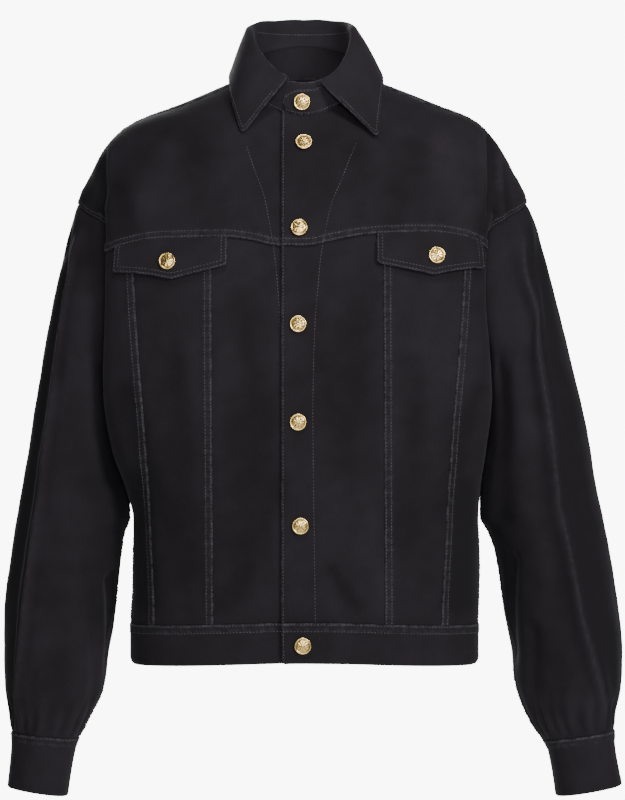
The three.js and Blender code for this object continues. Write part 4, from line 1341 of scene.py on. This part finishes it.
def make_flap(side):
    sign = SIDES[side]
    rows = FLAPS[side]
    x = lerp(rows["x"][0], rows["x"][-1], shares(60))
    seam_angle, seam_run = front_place(sign * x, curve(YOKE_SEAM["x"], YOKE_SEAM["z"])(sign * x))

    def patch(u, v):
        at = lerp(rows["x"][0], rows["x"][-1], u)
        depth = np.interp(at, rows["x"], rows["depth"])
        run = np.interp(at, x, seam_run) - SEAM_GAP / 2 - depth * (1 - v)
        return angle_at(sign * at, run), run

    edges = {"from": (-1, 0), "to": (-1, 0), "bottom": (-1, 0), "top": (0, 0)}
    name = f"pocket_flap_{side}"
    make_shell(name, body_point, body_normal, patch, DOUBLE_CLOTH, edges, flap_lift, drape_on_body)


# Stitches.
def line_on(name, edge, inset, span=(0, 1)):
    """The line on a shell's outer face at an inset from one of its edges, and its normals."""
    shell = shells[name]
    face, out, distance = shell["face"], shell["out"], shell["distance"][edge]
    if edge in ("bottom", "top"):
        face, out, distance = face.swapaxes(0, 1), out.swapaxes(0, 1), distance.T
    if edge in ("to", "top"):
        face, out, distance = face[:, ::-1], out[:, ::-1], distance[:, ::-1]
    low, high = (round(share * (len(face) - 1)) for share in span)

    def at_inset(values):
        lines = range(low, high + 1)
        return np.array([
            [np.interp(inset, distance[i], values[i, :, k]) for k in range(3)] for i in lines
        ])

    return at_inset(face), at_inset(out)


def stitch_row(points, normals, trim=(0.0, 0.0)):
    """The corners of a row of stitches along a line: eight for each stitch."""
    along = runs_along(points, 0)
    pitch = THREAD["length"] + THREAD["gap"]
    starts = np.arange(trim[0] + 0.4, along[-1] - trim[1] - THREAD["length"], pitch)
    if len(starts) == 0:
        return np.zeros((0, 8, 3))

    def at(values, where):
        return np.stack([np.interp(where, along, values[:, k]) for k in range(3)], axis=-1)

    ends = starts + THREAD["length"]
    direction = unit(at(points, ends) - at(points, starts))
    up = unit(at(normals, starts + THREAD["length"] / 2))
    sideways = np.cross(up, direction) * THREAD["width"] / 2
    corners = [at(points, starts) - 0.05 * up]
    for share in (0.2, 0.8):
        middle = at(points, lerp(starts, ends, share))
        corners += [middle + sideways, middle + up * THREAD["height"], middle - sideways]
    corners.append(at(points, ends) - 0.05 * up)
    return np.stack(corners, axis=1)


STITCH_FACES = np.array([
    [0, 1, 2, 2], [0, 2, 3, 3], [1, 4, 5, 2], [2, 5, 6, 3], [4, 7, 5, 5], [5, 7, 6, 6],
])


def make_stitches(name, rows):
    stitches = np.concatenate(rows)
    starts = 8 * np.arange(len(stitches))[:, None, None]
    faces = (starts + STITCH_FACES).reshape(-1, 4).tolist()
    faces = [list(dict.fromkeys(face)) for face in faces]
    mesh = bpy.data.meshes.new(name)
    mesh.from_pydata((stitches.reshape(-1, 3) * MM).tolist(), [], faces)
    mesh.materials.append(thread)
    mesh.polygons.foreach_set("use_smooth", [True] * len(mesh.polygons))
    thing = bpy.data.objects.new(name, mesh)
    bpy.context.collection.objects.link(thing)
    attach(thing, "root")


def rows_at(name, edge, insets, span=(0, 1), trim=(0.0, 0.0)):
    return [stitch_row(*line_on(name, edge, inset, span), trim) for inset in insets]


def facing_row(side):
    """The row along a facing's edge, laid onto the cloth of the yoke and the front."""
    line = FACING_LINES[side]
    fine = lerp(line["z"][0], line["z"][-1], shares(240))
    x = curve(-line["z"], line["x"])(-fine)
    angle, run = front_place(x, fine)
    points, out = body_point(angle, run), body_normal(angle, run)
    trees = []
    for name in (f"front_yoke_{side}", f"front_centre_{side}"):
        face = shells[name]["face"]
        corners = grid_faces(*face.shape[:2])
        trees.append(BVHTree.FromPolygons(face.reshape(-1, 3).tolist(), corners.tolist()))
    laid = []
    for point, normal in zip(points, out):
        start = Vector(point + 20 * normal)
        hits = [tree.ray_cast(start, Vector(-normal), 40)[0] for tree in trees]
        laid.append(next((hit for hit in hits if hit is not None), point))
    return stitch_row(np.array(laid), out)


def stitch_front(side):
    panels = [f"pocket_panel_{side}", f"front_side_{side}"]
    rows = [row for panel in panels for row in rows_at(panel, "from", TWIN)]
    rows += rows_at(f"front_side_{side}", "to", TWIN)
    rows += rows_at(f"front_yoke_{side}", "bottom", TWIN)
    rows += rows_at(f"front_yoke_{side}", "to", TWIN, (0, 0.43))
    flap = f"pocket_flap_{side}"
    for inset in (1.5, 6):
        for edge in ("from", "to"):
            rows += rows_at(flap, edge, [inset], (0, 1), (inset, 2))
        rows += rows_at(flap, "bottom", [inset], (0, 1), (inset, inset))
    rows.append(facing_row(side))
    if side == "left":
        rows += rows_at("front_centre_left", "from", [1.9])
        rows += rows_at("front_yoke_left", "from", [1.9])
    make_stitches(f"stitches_front_{side}", rows)


def stitch_back():
    rows = rows_at("back_yoke", "bottom", TWIN)
    for edge in ("from", "to"):
        rows += rows_at("back_yoke", edge, TWIN)
    rows += rows_at("back_side_left", "to", TWIN) + rows_at("back_side_right", "from", TWIN)
    rows += rows_at("back_side_left", "from", TWIN, (0.48, 1))
    rows += rows_at("back_side_right", "to", TWIN, (0.48, 1))
    make_stitches("stitches_back", rows)


def stitch_bands():
    rows = rows_at("hem_band", "top", (1.6, 8.8), (0, 1), (2, 2))
    for edge in ("from", "to"):
        rows += rows_at("hem_band", edge, [2], (0, 1), (2, 2))
    make_stitches("stitches_hem", rows)


def stitch_sleeve(side):
    rows = rows_at(f"sleeve_upper_{side}", "from", TWIN) + rows_at(f"sleeve_upper_{side}", "to", TWIN)
    rows += rows_at(f"cuff_{side}", "bottom", [1.6], (0, 1), (2, 2))
    rows += rows_at(f"cuff_{side}", "from", [2], (0, 1), (2, 2))
    make_stitches(f"stitches_sleeve_{side}", rows)


def inner_row():
    """The straight row across the inside of the collar's back."""
    shell = shells["collar_fall"]
    rise = shell["face"][..., 2]
    crest = rise.argmax(axis=1)
    laid = []
    for k in range(*(round(share * len(rise)) for share in (0.3, 0.7))):
        inside = slice(0, crest[k] + 1)
        if rise[k, 0] < INNER_ROW_Z < rise[k, crest[k]]:
            values = np.hstack([shell["face"][k, inside], shell["out"][k, inside]])
            laid.append([np.interp(INNER_ROW_Z, rise[k, inside], column) for column in values.T])
    laid = np.array(laid)
    return stitch_row(laid[:, :3], unit(laid[:, 3:]))


def stitch_collar():
    rows = rows_at("collar_fall", "to", [4], (0, 1), (4, 4))
    for edge in ("bottom", "top"):
        rows += rows_at("collar_fall", edge, [4], (0.42, 1), (0, 4))
    rows.append(inner_row())
    rows += rows_at("collar_stand", "top", [2], (0, 0.12))
    rows += rows_at("collar_stand", "bottom", [2], (0, 1), (2, 2))
    make_stitches("stitches_collar", rows)


# Shank buttons: a rolled rim, a groove and a low rosette on a dome.
BUTTON_SIDES = 64
BUTTON_PROFILE = table("radius height hollow", [
    [0, 0, 0],
    [3, 0, 0],
    [2.6, 0.9, 1],
    [7.6, 1.3, 1],
    [9.4, 1.5, 0.2],
    [10, 2.1, 0],
    [9.8, 2.7, 0],
    [9.2, 3.1, 0],
    [8.6, 3.1, 0],
    [8.1, 2.8, 0.5],
    [7.7, 2.6, 1],
    [7.2, 2.8, 0.6],
    [6.6, 3.1, 0.1],
    [5.8, 3.28, 0],
    [4.9, 3.42, 0],
    [4.0, 3.54, 0],
    [3.1, 3.63, 0],
    [2.3, 3.68, 0.3],
    [1.7, 3.72, 0.8],
    [1.3, 3.9, 0.1],
    [0.7, 4.0, 0],
    [0, 4.02, 0],
])
ROSETTE = {"petals": 8, "inner": 1.8, "outer": 6.8, "depth": 0.42}


def make_button(name, point, normal):
    turn = 2 * np.pi * np.arange(BUTTON_SIDES) / BUTTON_SIDES
    radius, height, hollow = (BUTTON_PROFILE[key][:, None] for key in ("radius", "height", "hollow"))
    radius = BUTTON_SCALE * radius
    inside = np.clip((radius - ROSETTE["inner"]) / (ROSETTE["outer"] - ROSETTE["inner"]), 0, 1)
    on_face = np.where(np.arange(len(radius))[:, None] > 10, np.sin(np.pi * inside), 0)
    between = np.abs(np.sin(turn * ROSETTE["petals"] / 2))[None, :] ** 0.5
    dip = ROSETTE["depth"] * on_face * (1 - between)
    x, y = radius * np.cos(turn), radius * np.sin(turn)
    local = np.stack([x, y, height - dip], axis=-1)
    turned = np.array(Vector(normal).to_track_quat("Z", "Y").to_matrix())
    points = (local @ turned.T + point + SEAM_GAP * normal).reshape(-1, 3)
    rows = np.arange(len(radius))[:, None] * BUTTON_SIDES
    here = np.arange(BUTTON_SIDES)[None, :]
    after = (here + 1) % BUTTON_SIDES
    faces = np.stack([rows[:-1] + here, rows[:-1] + after, rows[1:] + after, rows[1:] + here], axis=-1)
    patina = np.clip(hollow + 1.6 * dip, 0, 1)
    marks = [("hollow", patina)]
    thing = make_object(name + "_metal", points, faces.reshape(-1, 4), gold, marks)
    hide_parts(name)


def button_on_body(name, x, z, lift):
    angle, run = front_place(np.array([x]), np.array([z]))
    base, normal = body_point(angle, run), body_normal(angle, run)
    out = lift(angle, run) + (0 if name == "button_hem" else body_drape(base, normal))
    make_button(name, (base + normal * out[..., None])[0], normal[0])


def placket_lift(angle, run):
    return overlap_lift(angle, run, CLOTH)


def band_lift(angle, run):
    return BAND_LIFT + overlap_lift(angle, run, BAND_CLOTH)


def make_buttons():
    for i, (x, z) in enumerate(zip(FRONT_BUTTONS["x"], FRONT_BUTTONS["z"])):
        button_on_body(f"button_front_{i + 1}", x, z, placket_lift)
    button_on_body("button_hem", HEM_BUTTON["x"], HEM_BUTTON["z"], band_lift)
    height = STAND_HEIGHT * STAND_BUTTON["share"]
    angle = stand_angle(STAND_BUTTON["x"], height)
    normal = stand_normal(angle, height)
    make_button("button_stand", stand_point(angle, height) + normal * stand_lift(angle), normal)
    for side, sign in SIDES.items():
        place = FLAP_BUTTONS[side]
        button_on_body(f"button_flap_{side}", sign * place["x"], place["z"], flap_lift)
        sleeve = sleeves[side]
        turn = (CUFF_LAP["over"] + CUFF_LAP["under"]) / 2 - 360
        run = sleeve["button_run"]
        out = sleeve["normal"](turn, run)
        point = sleeve["surface"](turn, run) + out * cuff_lift(turn)
        make_button(f"button_cuff_{side}", point, out)


# Floor and light.
LIGHTS = [
    # name, place, aim, size and power
    ("key", (2.1, -2.9, 1.0), (0, 0, -0.3), 1.0, 78),
    ("front", (0.1, -4.4, 0.1), (0, 0, -0.35), 1.9, 72),
    ("top", (0.2, -1.7, 2.6), (0, 0, -0.1), 1.0, 44),
    ("back", (-0.8, 2.8, 1.0), (0, 0, -0.3), 1.8, 90),
]
NECK_LIGHT = {  # a narrow one that fills the inside of the collar
    "place": (0.1, -3.4, 0.3), "aim": (0.0, 0.08, 0.05), "cone": 0.046, "size": 0.1, "power": 760,
}
BACKDROP = 9.0  # brightness of the world where the camera sees it
AMBIENT = 0.1  # and as it lights the scene


def hang_light(light, place, aim, power):
    light.energy = power
    lamp = bpy.data.objects.new(light.name, light)
    lamp.location = place
    lamp.rotation_euler = (Vector(aim) - Vector(place)).to_track_quat("-Z", "Y").to_euler()
    bpy.context.collection.objects.link(lamp)


def add_studio():
    bpy.ops.mesh.primitive_circle_add(vertices=96, radius=3.4, fill_type="NGON", location=(0, 0, -1.45))
    floor = bpy.context.object
    floor.name = "floor"
    floor.data.materials.append(make_floor_material())
    for name, place, aim, size, power in LIGHTS:
        light = bpy.data.lights.new(name, "AREA")
        light.size = size
        hang_light(light, place, aim, power)
    spot = bpy.data.lights.new("neck", "SPOT")
    spot.spot_size = NECK_LIGHT["cone"]
    spot.spot_blend = 1
    spot.shadow_soft_size = NECK_LIGHT["size"]
    hang_light(spot, NECK_LIGHT["place"], NECK_LIGHT["aim"], NECK_LIGHT["power"])
    world = bpy.data.worlds.new("studio")
    world.use_nodes = True
    background = world.node_tree.nodes["Background"]
    background.inputs["Color"].default_value = (1, 1, 1, 1)
    seen = world.node_tree.nodes.new("ShaderNodeLightPath").outputs["Is Camera Ray"]
    strength = world.node_tree.nodes.new("ShaderNodeMapRange")
    strength.inputs["To Min"].default_value = AMBIENT
    strength.inputs["To Max"].default_value = BACKDROP
    world.node_tree.links.new(seen, strength.inputs["Value"])
    world.node_tree.links.new(strength.outputs["Result"], background.inputs["Strength"])
    bpy.context.scene.world = world


add_camera()
sleeves = {side: sleeve_of(side) for side in SIDES}
for side in SIDES:
    make_front(side)
    make_flap(side)
    make_sleeve(side)
    make_cuff(side)
make_back()
make_hem_band()
make_stand()
make_fall()
for side in SIDES:
    stitch_front(side)
    stitch_sleeve(side)
stitch_back()
stitch_bands()
stitch_collar()
make_buttons()
add_studio()
